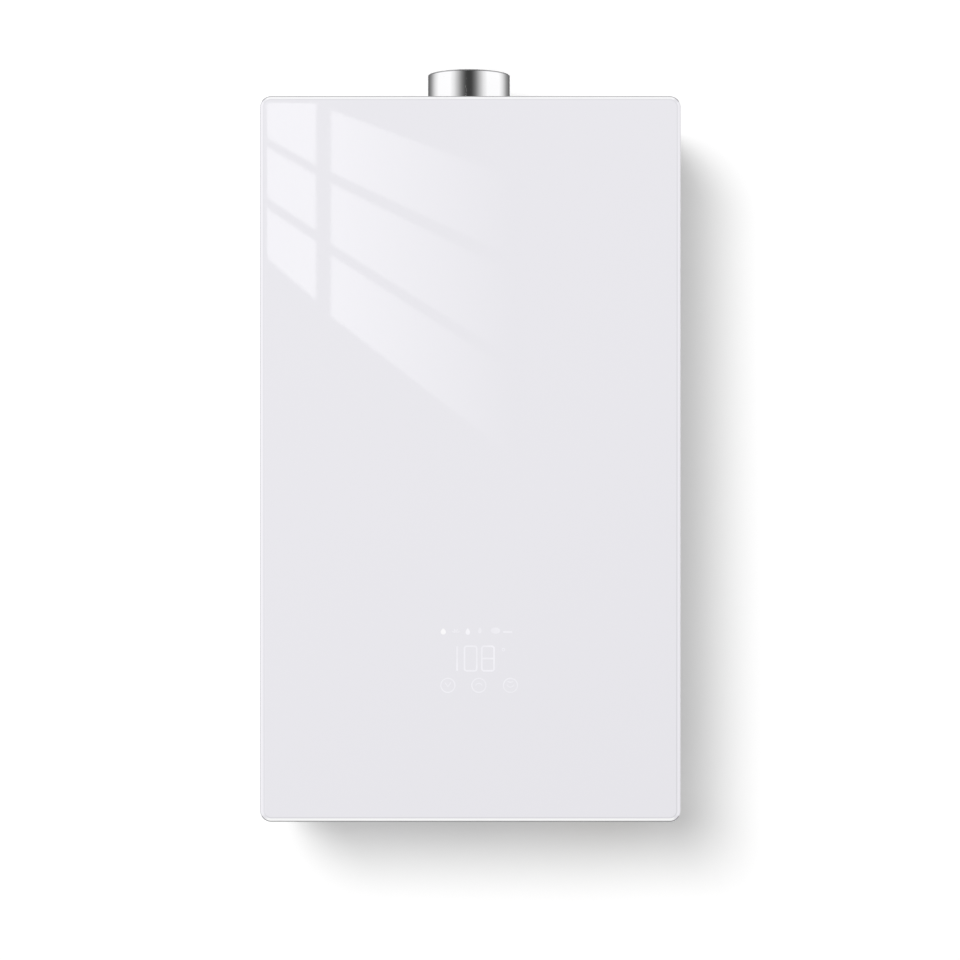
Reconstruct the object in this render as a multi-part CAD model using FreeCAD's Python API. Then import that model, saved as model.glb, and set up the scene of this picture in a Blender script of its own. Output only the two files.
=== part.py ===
"""Wall-hung tankless water heater: every piece in its own STEP file.

Millimetres. The wall is the plane y = 0, the glass faces -Y, X runs to the right seen from the front and
Z is up. The origin is the middle of the back pan on the wall.
"""

import FreeCAD
import Part
import math
import os

Vec = FreeCAD.Vector
RIGHT = Vec(1, 0, 0)
BACK = Vec(0, 1, 0)
UP = Vec(0, 0, 1)

# Front panel and case
panel_width = 376.0
panel_height = 650.0
panel_corner = 10.0
case_depth = 160.0
glass_thickness = 4.0
bevel_width = 2.4
bevel_depth = 1.1
tape_thickness = 0.8
tape_band = 18.0

# Front cover
cover_inset = 1.0
cover_sheet = 1.2
cover_depth = 34.0
cover_overlap = 11.0
cover_rib_x = 125.0
cover_rib_width = 14.0
cover_rib_rise = 3.0
cover_rib_low = -120.0
cover_rib_length = 400.0

# Back pan
pan_gap = 0.5
pan_sheet = 1.2
pan_lip = 8.0
ear_width = 230.0
ear_corner = 8.0
upper_ear = 20.0
lower_ear = 17.0
wall_screw_x = 100.0
wall_slot_length = 14.0
wall_slot_radius = 3.5
wall_hole_radius = 3.25
hook_radius = 6.0
hook_drop = 2.0
hook_neck_radius = 3.5
bead_x = 152.0
bead_length = 430.0
bead_width = 16.0
bead_rise = 3.0
louvre_length = 46.0
louvre_height = 3.0
louvre_pitch = 9.0
louvre_count = 4
louvre_low = -268.0
louvre_y = -66.0

# Bottom plate, a shallow tray set up into the case
recess = 15.0
plate_sheet = 1.2
window_side = 12.0
window_rear = 12.0
window_front = 13.0
window_corner = 8.0
foot_width = 7.0
foot_corner_gap = 0.5
front_foot = 3.0
vent_slot_length = 34.0
vent_slot_width = 3.2
vent_slot_pitch = 8.0
vent_slot_count = 5
vent_slot_y = -80.0
vent_middles = (-125.0, 62.0)

# Display behind the glass
display_x = 8.0
display_z = -180.0
window_width = 92.0
window_height = 76.0
window_round = 5.0
display_wall = 1.6
display_depth = 10.0
display_flange = 7.0
board_sheet = 1.6
board_gap = 1.0
lamp_gap = 0.2
lamp_block_width = 76.0
lamp_block_height = 38.0
lamp_block_z = 12.0
key_pitch = 28.5
key_z = -23.0
key_pad_radius = 4.0
socket_x = -34.0
socket_width = 12.0
socket_height = 7.0
socket_depth = 5.0
plug_gap = 0.3

# Flue collar and backdraft flap
collar_radius = 38.0
collar_sheet = 0.8
collar_rise = 31.8
collar_below = 38.0
collar_plate_width = 236.0
collar_plate_depth = 88.0
collar_plate_sheet = 1.2
collar_hole_gap = 0.4
flap_gap = 1.0
flap_sheet = 0.8
flap_drop = 16.0
flap_offset = 9.0
flap_pin_radius = 1.5
flap_pin_gap = 0.05
flap_sleeve_wall = 1.1
flap_sleeve_length = 9.0
flap_sleeve_x = 17.0
flap_ledge = 3.0
flap_stop_width = 14.0
flap_seat_gap = 0.3
duct_folds = 6

# Exhaust fan
fan_x = 55.3
fan_z = 190.0
fan_width = 44.0
fan_sheet = 1.0
volute_radius = 60.0
volute_step = 9.0
outlet_width = 51.0
outlet_height = 68.0
fan_eye_radius = 29.0
wheel_radius = 46.0
wheel_eye_radius = 33.0
wheel_sheet = 1.0
wheel_gap = 3.5
vane_count = 12
vane_curve = 11.0
vane_sheet = 0.9
hub_radius = 9.0
hub_length = 18.0
shaft_radius = 3.0
shaft_fit = 0.02
drum_sides = 20
hub_sides = 12
motor_radius = 31.0
motor_length = 32.0
motor_boss_radius = 11.0
motor_boss_length = 4.0
motor_bearing_gap = 0.05
motor_plate_sheet = 1.6
motor_plate_rim = 3.0
motor_hole_radius = 5.0

# Exhaust hood
hood_sheet = 1.0
hood_depth = 31.0
hood_front_edge = 7.0
hood_shoulder = 14.0
hood_top = 228.0
hood_left_top = 12.0
hood_right_top = 104.0

# Heat exchanger and combustion chamber
chamber_half = 110.0
chamber_room = 30.0
chamber_rear = 20.0
chamber_corner = 8.0
copper_sheet = 0.8
exchanger_top = 98.0
exchanger_height = 60.0
chamber_height = 100.0
fin_count = 4
fin_sheet = 0.6
fin_height = 44.0
fin_edge_gap = 0.3
fin_span = 190.0
water_tube_radius = 9.5
water_tube_pitch = 31.0
tube_fit = 0.05
return_reach = 6.0
return_depth = 13.0
return_edge = 4.0
header_sheet = 2.0
header_rim = 4.0
window_x = -52.0
window_z = 4.0
sight_width = 26.0
sight_height = 16.0
sight_rim = 4.0
window_glass = 3.0
rail_height = 16.0
rail_sheet = 1.2
rail_foot = 9.0
rail_end_gap = 8.0

# Burner
burner_height = 66.0
burner_sheet = 1.0
blade_count = 6
blade_pitch = 34.0
blade_throat_radius = 5.5
blade_mouth_radius = 8.0
blade_flare = 10.0
blade_throat_length = 66.0
blade_web = 4.0
blade_bar_width = 9.0
blade_bar_height = 10.0
blade_end_gap = 0.3
throat_height = 17.0
mouth_slot_height = 26.0
air_opening_width = 150.0
air_opening_depth = 58.0
manifold_depth = 12.0
manifold_height = 16.0
manifold_gap = 4.0
manifold_edge = 2.0
nozzle_flat = 9.0
nozzle_base = 3.0
nozzle_tip_radius = 1.6
riser_radius = 7.0
electrode_x = 26.0
electrode_pitch = 44.0
electrode_radius = 3.6
electrode_z = -54.0
electrode_length = 26.0
electrode_outside = 9.0
electrode_opening = 9.0
electrode_rim = 4.0
electrode_plate = 1.5
pin_radius = 1.0
pin_reach = 16.0

# Pipes
pipe_radius = 6.35
pipe_sides = 10
pipe_bend = 12.0
pipe_clear = 0.65
coil_low = -36.0
coil_climb = 26.0
outer_pipe_x = 137.0
union_flat = 20.0
union_length = 14.0
union_z = -150.0

# Connections under the case
row_y = -41.0
thread_radius = 10.65
thread_length = 15.0
thread_bore = 7.5
fitting_drop = 31.0
outlet_rise = 7.8
neck_radius = 9.4
neck_length = 2.0
hex_flat = 27.0
plate_hole_gap = 1.2
fitting_collar = 4.0
fitting_collar_radius = 18.0

# Gas valve
valve_half_width = 30.0
valve_depth = 78.0
valve_height = 76.0
valve_stand = 14.0
valve_edge = 6.0
arm_width = 26.0
arm_height = 16.0
arm_drop = 2.0
coil_radius = 15.0
coil_length = 34.0
coil_drop = 26.0
guide_radius = 6.0
valve_boss = 3.0
trim_coil_radius = 13.0
trim_coil_length = 26.0
trim_coil_drop = 52.0

# Cold side: inlet body, drain plug, filter and flow sensor
inlet_height = 30.0
inlet_radius = 14.0
drain_spacing = 34.0
drain_bore = 8.3
drain_fit = 0.08
drain_branch_radius = 12.0
drain_branch_height = 38.0
drain_roof = 3.0
drain_knob_radius = 11.0
drain_knob_height = 20.0
drain_knob_gap = 1.0
drain_seat = 12.0
filter_radius = 6.5
filter_length = 20.0
flow_radius = 15.0
flow_height = 50.0
flow_middle = 30.0
flow_end_flat = 25.0
pickup_width = 14.0
pickup_height = 20.0
pickup_depth = 8.0
outlet_stand = 34.0

# Electrics
box_side_gap = 8.1
box_width = 96.0
box_low = -292.0
box_height = 126.0
box_room = 14.0
box_depth = 40.0
box_wall = 2.0
box_lid = 2.0
box_board_stand = 8.0
box_tab = 14.0
spark_width = 33.0
spark_depth = 35.0
spark_height = 70.0
spark_low = -180.0
spark_room = 72.0
switch_x = -112.0
switch_z = 222.0
switch_radius = 27.0
switch_depth = 20.0
switch_stand = 13.0
switch_foot = 22.0
hose_radius = 3.0
loom_width = 8.0
loom_thickness = 4.0
loom_bend = 9.0
loom_side_gap = 18.1
loom_top = 268.0
loom_stand = 31.0
display_loom_stand = 18.0
gland_x = -72.0
gland_y = -84.0
gland_bore = 4.5
gland_radius = 8.0
gland_flat = 20.0
gland_height = 15.0
gland_nut = 6.0
sensor_radius = 9.0
sensor_depth = 7.0

# Levels and lines that follow from the sizes above
glass_back = -(case_depth - glass_thickness)
cover_front = glass_back + tape_thickness
cover_inner = cover_front + cover_sheet
cover_rear = cover_front + cover_depth
pan_front = cover_rear - cover_overlap
cover_width = panel_width - 2 * cover_inset
cover_height = panel_height - 2 * cover_inset
cover_corner = panel_corner - cover_inset
pan_inset = cover_inset + cover_sheet + pan_gap
pan_width = panel_width - 2 * pan_inset
pan_height = panel_height - 2 * pan_inset
pan_corner = max(panel_corner - pan_inset, pan_sheet + 1.0)
pan_top = pan_height / 2
pan_bottom = -pan_top
pan_side = pan_width / 2 - pan_sheet
plate_top = pan_bottom + pan_sheet + recess
plate_bottom = plate_top - plate_sheet
window_back = -(pan_sheet + window_rear)
window_fore = pan_front + window_front
window_half = pan_side - window_side

chamber_back = -chamber_rear
chamber_front = cover_inner + chamber_room
chamber_middle = (chamber_back + chamber_front) / 2
exchanger_low = exchanger_top - exchanger_height
chamber_low = exchanger_low - chamber_height
burner_low = chamber_low - burner_height
water_z = (exchanger_low + exchanger_top) / 2
water_rows = [chamber_middle + water_tube_pitch * step for step in (-1, 0, 1)]

hood_back = chamber_back
hood_face = hood_back - hood_depth
fan_rear = hood_face
fan_front = fan_rear - fan_width
fan_middle = (fan_rear + fan_front) / 2
collar_y = fan_middle
collar_x = fan_x - (volute_radius + 2.5 * volute_step) + outlet_width / 2
adapter_low = fan_z + outlet_height
collar_top = panel_height / 2 + collar_rise
collar_low = pan_top - collar_below
flap_z = pan_top - flap_drop
flap_y = collar_y + flap_offset

rail_half = chamber_half - rail_end_gap
coil_x = chamber_half + pipe_radius + pipe_clear
coil_front = chamber_front - pipe_radius - pipe_clear
hot_x = outer_pipe_x
hot_y = water_rows[0]
cold_x = coil_x
drain_x = cold_x + drain_spacing
fitting_low = plate_bottom - fitting_drop
outlet_low = fitting_low + outlet_rise
stand_top = plate_top + valve_stand
inlet_top = plate_top + inlet_height
flow_top = inlet_top + flow_height

manifold_rear = chamber_front - manifold_gap
manifold_y = manifold_rear - manifold_depth / 2
throat_z = burner_low + throat_height
nozzle_length = manifold_gap + burner_sheet
valve_back = row_y + fitting_collar_radius
valve_front = valve_back - valve_depth
valve_top = stand_top + valve_height
arm_top = valve_top - arm_drop
box_left = box_side_gap - pan_side
box_front = cover_inner + box_room
spark_front = cover_inner + spark_room
loom_x = loom_side_gap - pan_side
loom_y = box_front + loom_stand
display_loom_y = box_front + display_loom_stand


def block(span_x, span_y, span_z):
    """Box from the two ends of its spans."""
    low = Vec(min(span_x), min(span_y), min(span_z))
    width, depth, height = (abs(span[1] - span[0]) for span in (span_x, span_y, span_z))
    return Part.makeBox(width, depth, height, low)


def rod(start, end, radius):
    """Round bar between two points."""
    run = end.sub(start)
    return Part.makeCylinder(radius, run.Length, start, run)


def join(pieces):
    """One solid from pieces that touch or overlap."""
    return pieces[0].multiFuse(pieces[1:]).removeSplitter()


def facing(shape, base, direction):
    """Stand a shape that was made about +Z at the origin on a point, along a direction."""
    shape.Placement = FreeCAD.Placement(base, FreeCAD.Rotation(UP, direction))
    return shape


def hexagon(base, direction, flat, height):
    """Six-sided bar across its flats."""
    return flat_sided([(0, 0), (flat / 2, 0), (flat / 2, height), (0, height)], 6, base, direction)


def flat_sided(profile, sides, base, direction):
    """Drum with flat sides: (radius, height) points, from the axis back to the axis, set round it."""
    stretch = 1 / math.cos(math.pi / sides)
    turns = [2 * math.pi * (k + 0.5) / sides for k in range(sides)]
    rings = []
    for flat, height in profile:
        radius = flat * stretch
        rings.append([Vec(radius * math.cos(t), radius * math.sin(t), height) for t in turns])
    faces = [Part.Face(Part.makePolygon(rings[1] + rings[1][:1])),
             Part.Face(Part.makePolygon(rings[-2] + rings[-2][:1]))]
    for low, high in zip(rings[1:-2], rings[2:-1]):
        for k in range(sides):
            after = (k + 1) % sides
            faces.append(Part.Face(Part.makePolygon([low[k], low[after], high[after], high[k], low[k]])))
    return facing(Part.makeSolid(Part.makeShell(faces)), base, direction)


def rounded_edges(half_a, half_b, corner, place):
    """Edges of a rounded rectangle; place turns its two flat coordinates into a point."""
    edges = []
    last = place(half_a, -half_b + corner)
    for quarter, (sign_a, sign_b) in enumerate(((1, 1), (-1, 1), (-1, -1), (1, -1))):
        middle_a = sign_a * (half_a - corner)
        middle_b = sign_b * (half_b - corner)
        turns = [math.radians(90 * quarter + step) for step in (0, 45, 90)]
        arc = [place(middle_a + corner * math.cos(t), middle_b + corner * math.sin(t)) for t in turns]
        edges.append(Part.makeLine(last, arc[0]))
        edges.append(Part.Arc(*arc).toShape())
        last = arc[2]
    return edges


def standing_wire(width, height, corner, y, middle=(0.0, 0.0)):
    """Rounded rectangle that stands at depth y."""
    x, z = middle
    return Part.Wire(rounded_edges(width / 2, height / 2, corner, lambda a, b: Vec(x + a, y, z + b)))


def standing_slab(width, height, corner, y_from, y_to, middle=(0.0, 0.0)):
    """Rounded rectangle seen from the front, as thick as the two depths say."""
    face = Part.Face(standing_wire(width, height, corner, y_from, middle))
    return face.extrude(Vec(0, y_to - y_from, 0))


def lying_wire(span_x, span_y, corner, z):
    """Rounded rectangle seen from above."""
    middle_x = sum(span_x) / 2
    middle_y = sum(span_y) / 2
    half_x = abs(span_x[1] - span_x[0]) / 2
    half_y = abs(span_y[1] - span_y[0]) / 2
    return Part.Wire(rounded_edges(half_x, half_y, corner, lambda a, b: Vec(middle_x + a, middle_y + b, z)))


def lying_slab(span_x, span_y, corner, span_z):
    """Rounded rectangle seen from above, with a height."""
    face = Part.Face(lying_wire(span_x, span_y, corner, span_z[0]))
    return face.extrude(Vec(0, 0, span_z[1] - span_z[0]))


def slot(middle, length, radius, depth):
    """Round-ended slot along X, cut through along Y."""
    half = length / 2 - radius
    run = Vec(0, depth, 0)
    ends = [rod(middle.add(Vec(side * half, 0, 0)), middle.add(Vec(side * half, 0, 0)).add(run), radius)
            for side in (-1, 1)]
    bar = block((middle.x - half, middle.x + half), (middle.y, middle.y + depth),
                (middle.z - radius, middle.z + radius))
    return join(ends + [bar])


def swept(points, bend, outline):
    """Bar along straight runs through the points, each corner cut off by one straight facet."""
    track = [points[0]]
    for before, corner, after in zip(points, points[1:], points[2:]):
        inward = corner.sub(before).normalize()
        outward = after.sub(corner).normalize()
        set_back = bend * math.tan(inward.getAngle(outward) / 2)
        track += [corner - inward * set_back, corner + outward * set_back]
    track.append(points[-1])
    first = track[1].sub(track[0]).normalize()
    return Part.makePolygon(track).makePipeShell([outline(track[0], first)], True, False, 1)


def pipe_outline(radius):
    """Outline of an inner pipe in flat facets, its corners on the radius."""
    def outline(origin, direction):
        across = UP.cross(direction) if abs(direction.z) < 0.9 else RIGHT
        across = Vec(across).normalize()
        other = direction.cross(across)
        turns = [2 * math.pi * (k + 0.5) / pipe_sides for k in range(pipe_sides + 1)]
        return Part.makePolygon([origin + across * (radius * math.cos(t)) + other * (radius * math.sin(t))
                                 for t in turns])
    return outline


def pipe_run(start, end, radius):
    """Straight length of inner pipe."""
    return swept([start, end], 0, pipe_outline(radius))


def folded_slab(span_x, span_y, corner, span_z):
    """Block with its four upright edges cut off, as folded sheet has them."""
    x0, x1 = min(span_x), max(span_x)
    y0, y1 = min(span_y), max(span_y)
    outline = [(x0 + corner, y0), (x1 - corner, y0), (x1, y0 + corner), (x1, y1 - corner),
               (x1 - corner, y1), (x0 + corner, y1), (x0, y1 - corner), (x0, y0 + corner)]
    points = [Vec(x, y, span_z[0]) for x, y in outline + outline[:1]]
    return Part.Face(Part.makePolygon(points)).extrude(Vec(0, 0, span_z[1] - span_z[0]))


def folded_shell(sheet, span_z, floor):
    """Walls of the chamber's outline in one sheet thickness, with a floor of its own thickness or none."""
    corner = chamber_corner
    outer = folded_slab((-chamber_half, chamber_half), (chamber_front, chamber_back), corner, span_z)
    inner_x = (sheet - chamber_half, chamber_half - sheet)
    inner_y = (chamber_front + sheet, chamber_back - sheet)
    inner_corner = corner - sheet * (2 - math.sqrt(2))
    inner = folded_slab(inner_x, inner_y, inner_corner, (span_z[0] + floor, span_z[1]))
    return outer.cut(inner)


def flat_outline(width, thickness, across):
    """Outline of a flat loom whose width lies along across."""
    def outline(origin, direction):
        side = across.cross(direction).normalize()
        corners = [origin + across * (width * a / 2) + side * (thickness * b / 2)
                   for a, b in ((-1, -1), (1, -1), (1, 1), (-1, 1), (-1, -1))]
        return Part.makePolygon(corners)
    return outline


def make_back_pan():
    """Folded steel pan with an inward lip, wall ears, stiffening beads, louvres and openings."""
    sheet = pan_sheet
    walls = standing_slab(pan_width, pan_height, pan_corner, 0, pan_front)
    walls = walls.cut(standing_slab(pan_width - 2 * sheet, pan_height - 2 * sheet, pan_corner - sheet,
                                    -sheet, pan_front))
    lip_half_x = pan_width / 2 - pan_lip
    lip_half_z = pan_height / 2 - pan_lip
    lip = standing_slab(pan_width, pan_height, pan_corner, pan_front, pan_front + sheet)
    lip = lip.cut(block((-lip_half_x, lip_half_x), (pan_front - 1, pan_front + 2 * sheet),
                        (-lip_half_z, lip_half_z)))
    ears = [wall_ear(pan_top, upper_ear, 1), wall_ear(pan_bottom, lower_ear, -1)]
    beads = [bead(side * bead_x, sheet) for side in (-1, 1)]
    cuts = [bead(side * bead_x, 0) for side in (-1, 1)]
    cuts.append(block((-window_half, window_half), (window_back, window_fore),
                      (pan_bottom - 1, plate_bottom)))
    top_hole = Vec(collar_x, collar_y, pan_top - 2 * sheet)
    cuts.append(rod(top_hole, top_hole + UP * (4 * sheet), collar_radius + collar_hole_gap))
    slot_z = pan_top + upper_ear / 2
    through = -2 - sheet
    for side in (-1, 1):
        cuts.append(slot(Vec(side * wall_screw_x, 1, slot_z), wall_slot_length, wall_slot_radius, through))
        hole = Vec(side * wall_screw_x, 1, pan_bottom - lower_ear / 2)
        cuts.append(rod(hole, hole + BACK * through, wall_hole_radius))
        for row in range(louvre_count):
            z = louvre_low + row * louvre_pitch
            cuts.append(block((side * (pan_side - 1), side * (pan_side + 2 * sheet)),
                              (louvre_y - louvre_length / 2, louvre_y + louvre_length / 2),
                              (z, z + louvre_height)))
    hook = Vec(0, 1, slot_z - hook_drop)
    neck = hook + UP * (hook_radius - 0.5)
    cuts.append(rod(hook, hook + BACK * through, hook_radius))
    cuts.append(rod(neck, neck + BACK * through, hook_neck_radius))
    return join([walls, lip] + ears + beads).cut(cuts)


def wall_ear(z, rise, way):
    """Ear of the rear sheet beyond the case, with its two far corners cut off."""
    half = ear_width / 2
    outline = [(-half, z - way * rise), (half, z - way * rise), (half, z + way * (rise - ear_corner)),
               (half - ear_corner, z + way * rise), (ear_corner - half, z + way * rise),
               (-half, z + way * (rise - ear_corner))]
    points = [Vec(a, 0, b) for a, b in outline + outline[:1]]
    return Part.Face(Part.makePolygon(points)).extrude(BACK * -pan_sheet)


def bead(x, grow):
    """Stiffening bead pressed into the rear sheet; grown by the sheet it is the ridge, ungrown the groove."""
    foot = bead_width / 2 + grow
    crown = bead_width / 2 - bead_rise + grow
    near = -pan_sheet / 2 if grow else 1
    low = -grow / 2 - 0.1
    high = -bead_rise - grow
    outline = [(x - foot, near), (x + foot, near), (x + foot, low), (x + crown, high), (x - crown, high),
               (x - foot, low)]
    length = bead_length / 2 + grow
    points = [Vec(a, b, -length) for a, b in outline + outline[:1]]
    return Part.Face(Part.makePolygon(points)).extrude(UP * (2 * length))


def make_bottom_plate():
    """Recessed tray that carries the connections, with feet that lie on the pan and two fields of vents."""
    sheet = plate_sheet
    foot_z = pan_bottom + pan_sheet
    outer_x = (-window_half - sheet, window_half + sheet)
    outer_y = (window_back + sheet, window_fore - sheet)
    body = lying_slab(outer_x, outer_y, window_corner, (foot_z, plate_top))
    foot_end = pan_side - (pan_corner - pan_sheet) - foot_corner_gap
    foot = block((-foot_end, foot_end), (outer_y[0] + foot_width, outer_y[1] - front_foot),
                 (foot_z, foot_z + sheet))
    cuts = [lying_slab((-window_half, window_half), (window_back, window_fore), window_corner - sheet,
                       (foot_z, plate_bottom))]
    holes = [(0, row_y, thread_radius), (cold_x, row_y, thread_radius), (hot_x, hot_y, thread_radius),
             (drain_x, row_y, drain_knob_radius), (gland_x, gland_y, gland_radius)]
    for x, y, radius in holes:
        cuts.append(flat_sided([(0, 0), (radius + plate_hole_gap, 0), (radius + plate_hole_gap, 4 * sheet),
                                (0, 4 * sheet)], 8, Vec(x, y, plate_bottom - sheet), UP))
    for middle in vent_middles:
        for row in range(vent_slot_count):
            x = middle + (row - (vent_slot_count - 1) / 2) * vent_slot_pitch
            cuts.append(block((x - vent_slot_width / 2, x + vent_slot_width / 2),
                              (vent_slot_y - vent_slot_length / 2, vent_slot_y + vent_slot_length / 2),
                              (plate_bottom - 1, plate_top + 1)))
    return join([body, foot]).cut(cuts)


def make_front_cover():
    """Shallow drawn cover with the display window and two stiffening ribs inside."""
    outer = standing_slab(cover_width, cover_height, cover_corner, cover_front, cover_rear)
    hollow = standing_slab(cover_width - 2 * cover_sheet, cover_height - 2 * cover_sheet,
                           cover_corner - cover_sheet, cover_inner, cover_rear)
    window = standing_slab(window_width, window_height, window_round, cover_front, cover_inner,
                           (display_x, display_z))
    ribs = []
    for side in (-1, 1):
        x = side * cover_rib_x
        outline = [(x - cover_rib_width / 2, cover_inner - cover_sheet / 2),
                   (x - cover_rib_width / 4, cover_inner + cover_rib_rise),
                   (x + cover_rib_width / 4, cover_inner + cover_rib_rise),
                   (x + cover_rib_width / 2, cover_inner - cover_sheet / 2)]
        polygon = Part.makePolygon([Vec(a, b, cover_rib_low) for a, b in outline + outline[:1]])
        ribs.append(Part.Face(polygon).extrude(UP * cover_rib_length))
    return join([outer.cut([hollow, window])] + ribs)


def make_glass_panel():
    """Tempered glass with a ground bevel all round its front."""
    front = -case_depth
    shoulder = front + bevel_depth
    face = standing_wire(panel_width - 2 * bevel_width, panel_height - 2 * bevel_width,
                         panel_corner - bevel_width, front)
    edge = standing_wire(panel_width, panel_height, panel_corner, shoulder)
    bevel = Part.makeLoft([face, edge], True, True)
    return join([bevel, standing_slab(panel_width, panel_height, panel_corner, shoulder, glass_back)])


def make_panel_tape():
    """Band of bonding tape between the glass and the cover."""
    outer = standing_slab(cover_width, cover_height, cover_corner, glass_back, cover_front)
    half_x = cover_width / 2 - tape_band
    half_z = cover_height / 2 - tape_band
    return outer.cut(block((-half_x, half_x), (glass_back - 1, cover_front + 1), (-half_z, half_z)))


def display_block(grow, y_from, y_to):
    """Block behind the display window, grown from the window's size."""
    half_x = window_width / 2 + grow
    half_z = window_height / 2 + grow
    return block((display_x - half_x, display_x + half_x), (y_from, y_to),
                 (display_z - half_z, display_z + half_z))


def make_display_case():
    """Plastic tray behind the display window, flanged on to the cover's sheet."""
    rear = cover_inner + display_depth
    tray = display_block(0, cover_inner, rear)
    flange = display_block(display_flange, cover_inner, cover_inner + display_wall)
    hollow = display_block(-display_wall, cover_inner - 1, rear - display_wall)
    spans = socket_span(plug_gap)
    opening = block(spans[0], (rear - 2 * display_wall, rear + 1), spans[1])
    return join([tray, flange]).cut([hollow, opening])


def socket_span(grow):
    """Spans of the display socket along X and Z, grown by a gap."""
    half_x = socket_width / 2 + grow
    half_z = socket_height / 2 + grow
    x = display_x + socket_x
    return (x - half_x, x + half_x), (display_z - half_z, display_z + half_z)


def board_rear():
    """Rear face of the display board, a small gap in front of its case."""
    return cover_inner + display_depth - display_wall - board_gap


def make_display_board():
    """Circuit board with its lead socket at the rear."""
    rear = board_rear()
    board = display_block(-display_wall - board_gap, rear - board_sheet, rear)
    spans = socket_span(0)
    shell = block(spans[0], (rear, rear + socket_depth), spans[1])
    hollow = block((spans[0][0] + 1, spans[0][1] - 1), (rear + 1, rear + socket_depth),
                   (spans[1][0] + 1, spans[1][1] - 1))
    far_x = window_width / 2 - display_wall - board_gap - 4
    far_z = window_height / 2 - display_wall - board_gap - 4
    studs = [block((display_x + side * far_x - 2, display_x + side * far_x + 2), (rear, rear + board_gap),
                   (display_z + end * far_z - 2, display_z + end * far_z + 2))
             for side in (-1, 1) for end in (-1, 1)]
    return join([board, shell] + studs).cut(hollow)


def make_display_module():
    """Lamp block that shines through the painted glass."""
    front = glass_back + lamp_gap
    rear = board_rear() - board_sheet
    half_x = lamp_block_width / 2
    low = display_z + lamp_block_z - lamp_block_height / 2
    module = block((display_x - half_x, display_x + half_x), (front, rear), (low, low + lamp_block_height))
    return module.makeChamfer(1.0, [edge for edge in module.Edges if edge.CenterOfMass.y < front + 0.1])


def make_touch_springs():
    """Three six-sided contact pads between the board and the glass."""
    front = glass_back + lamp_gap
    length = board_rear() - board_sheet - front
    places = [Vec(display_x + k * key_pitch, front, display_z + key_z) for k in (-1, 0, 1)]
    return [hexagon(place, BACK, 2 * key_pad_radius, length) for place in places]


def make_flue_collar():
    """Round steel collar on a wide plate that lies on the case, with the flap's stop inside."""
    inner = collar_radius - collar_sheet
    low = Vec(collar_x, collar_y, collar_low)
    high = Vec(collar_x, collar_y, collar_top)
    half_x = collar_plate_width / 2
    half_y = collar_plate_depth / 2
    plate = block((collar_x - half_x, collar_x + half_x), (collar_y - half_y, collar_y + half_y),
                  (pan_top, pan_top + collar_plate_sheet))
    stop_top = flap_bottom() - flap_seat_gap
    stop = block((collar_x - flap_stop_width / 2, collar_x + flap_stop_width / 2),
                 (collar_y - inner - collar_sheet / 2, collar_y - inner + flap_ledge),
                 (stop_top - 3, stop_top))
    bore = rod(low - UP, high + UP, inner)
    seat_flat = 2 * (flap_pin_radius + shaft_fit)
    seats = [hexagon(pin_end(side, collar_sheet), RIGHT * side, seat_flat, collar_sheet) for side in (-1, 1)]
    return join([join([rod(low, high, collar_radius), plate]).cut(bore), stop]).cut(seats)


def pin_end(side, short):
    """End of the flap's pin halfway through the collar's sheet, or short of it."""
    half = math.sqrt((collar_radius - collar_sheet / 2) ** 2 - flap_offset ** 2) - short
    return Vec(collar_x + side * half, flap_y, flap_z)


def flap_bottom():
    """Underside of the shut flap."""
    return flap_z - flap_pin_radius - flap_pin_gap - flap_sleeve_wall - flap_sheet / 2


def make_damper_pin():
    """Pin across the collar that the flap swings on."""
    return rod(pin_end(-1, 0), pin_end(1, 0), flap_pin_radius)


def make_damper_flap():
    """Thin flap with two rolled sleeves round its pin."""
    radius = collar_radius - collar_sheet - flap_gap
    disc = flat_sided([(0, 0), (radius, 0), (radius, flap_sheet), (0, flap_sheet)], drum_sides,
                      Vec(collar_x, collar_y, flap_bottom()), UP)
    bore = flap_pin_radius + flap_pin_gap
    sleeves = []
    for side in (-1, 1):
        start = Vec(collar_x + side * flap_sleeve_x - flap_sleeve_length / 2, flap_y, flap_z)
        sleeves.append(hexagon(start, RIGHT, 2 * (bore + flap_sleeve_wall), flap_sleeve_length))
    return join([disc] + sleeves).cut(rod(pin_end(-1, 0), pin_end(1, 0), bore))


def duct(grow, low, high):
    """Solid from the fan's rectangular outlet to the round collar, folded along straight bend lines."""
    half_x = outlet_width / 2 + grow
    half_y = fan_width / 2 - fan_sheet + grow
    radius = collar_radius - collar_sheet + grow
    corners = [Vec(collar_x + a * half_x, collar_y + b * half_y, low)
               for a, b in ((1, 1), (-1, 1), (-1, -1), (1, -1))]
    steps = 4 * duct_folds
    turns = [2 * math.pi * k / steps for k in range(steps)]
    rim = [Vec(collar_x + radius * math.cos(t), collar_y + radius * math.sin(t), high) for t in turns]
    outlines = [corners, rim]
    for quarter, corner in enumerate(corners):
        for fold in range(duct_folds):
            first = quarter * duct_folds + fold
            outlines.append([corner, rim[first], rim[(first + 1) % steps]])
        outlines.append([corner, rim[(quarter + 1) * duct_folds % steps], corners[(quarter + 1) % 4]])
    faces = [Part.Face(Part.makePolygon(outline + outline[:1])) for outline in outlines]
    return Part.makeSolid(Part.makeShell(faces))


def make_flue_adapter():
    """Sheet duct between fan and collar, rectangular below and round above."""
    return duct(collar_sheet, adapter_low, collar_low).cut(duct(0, adapter_low, collar_low))


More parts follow.
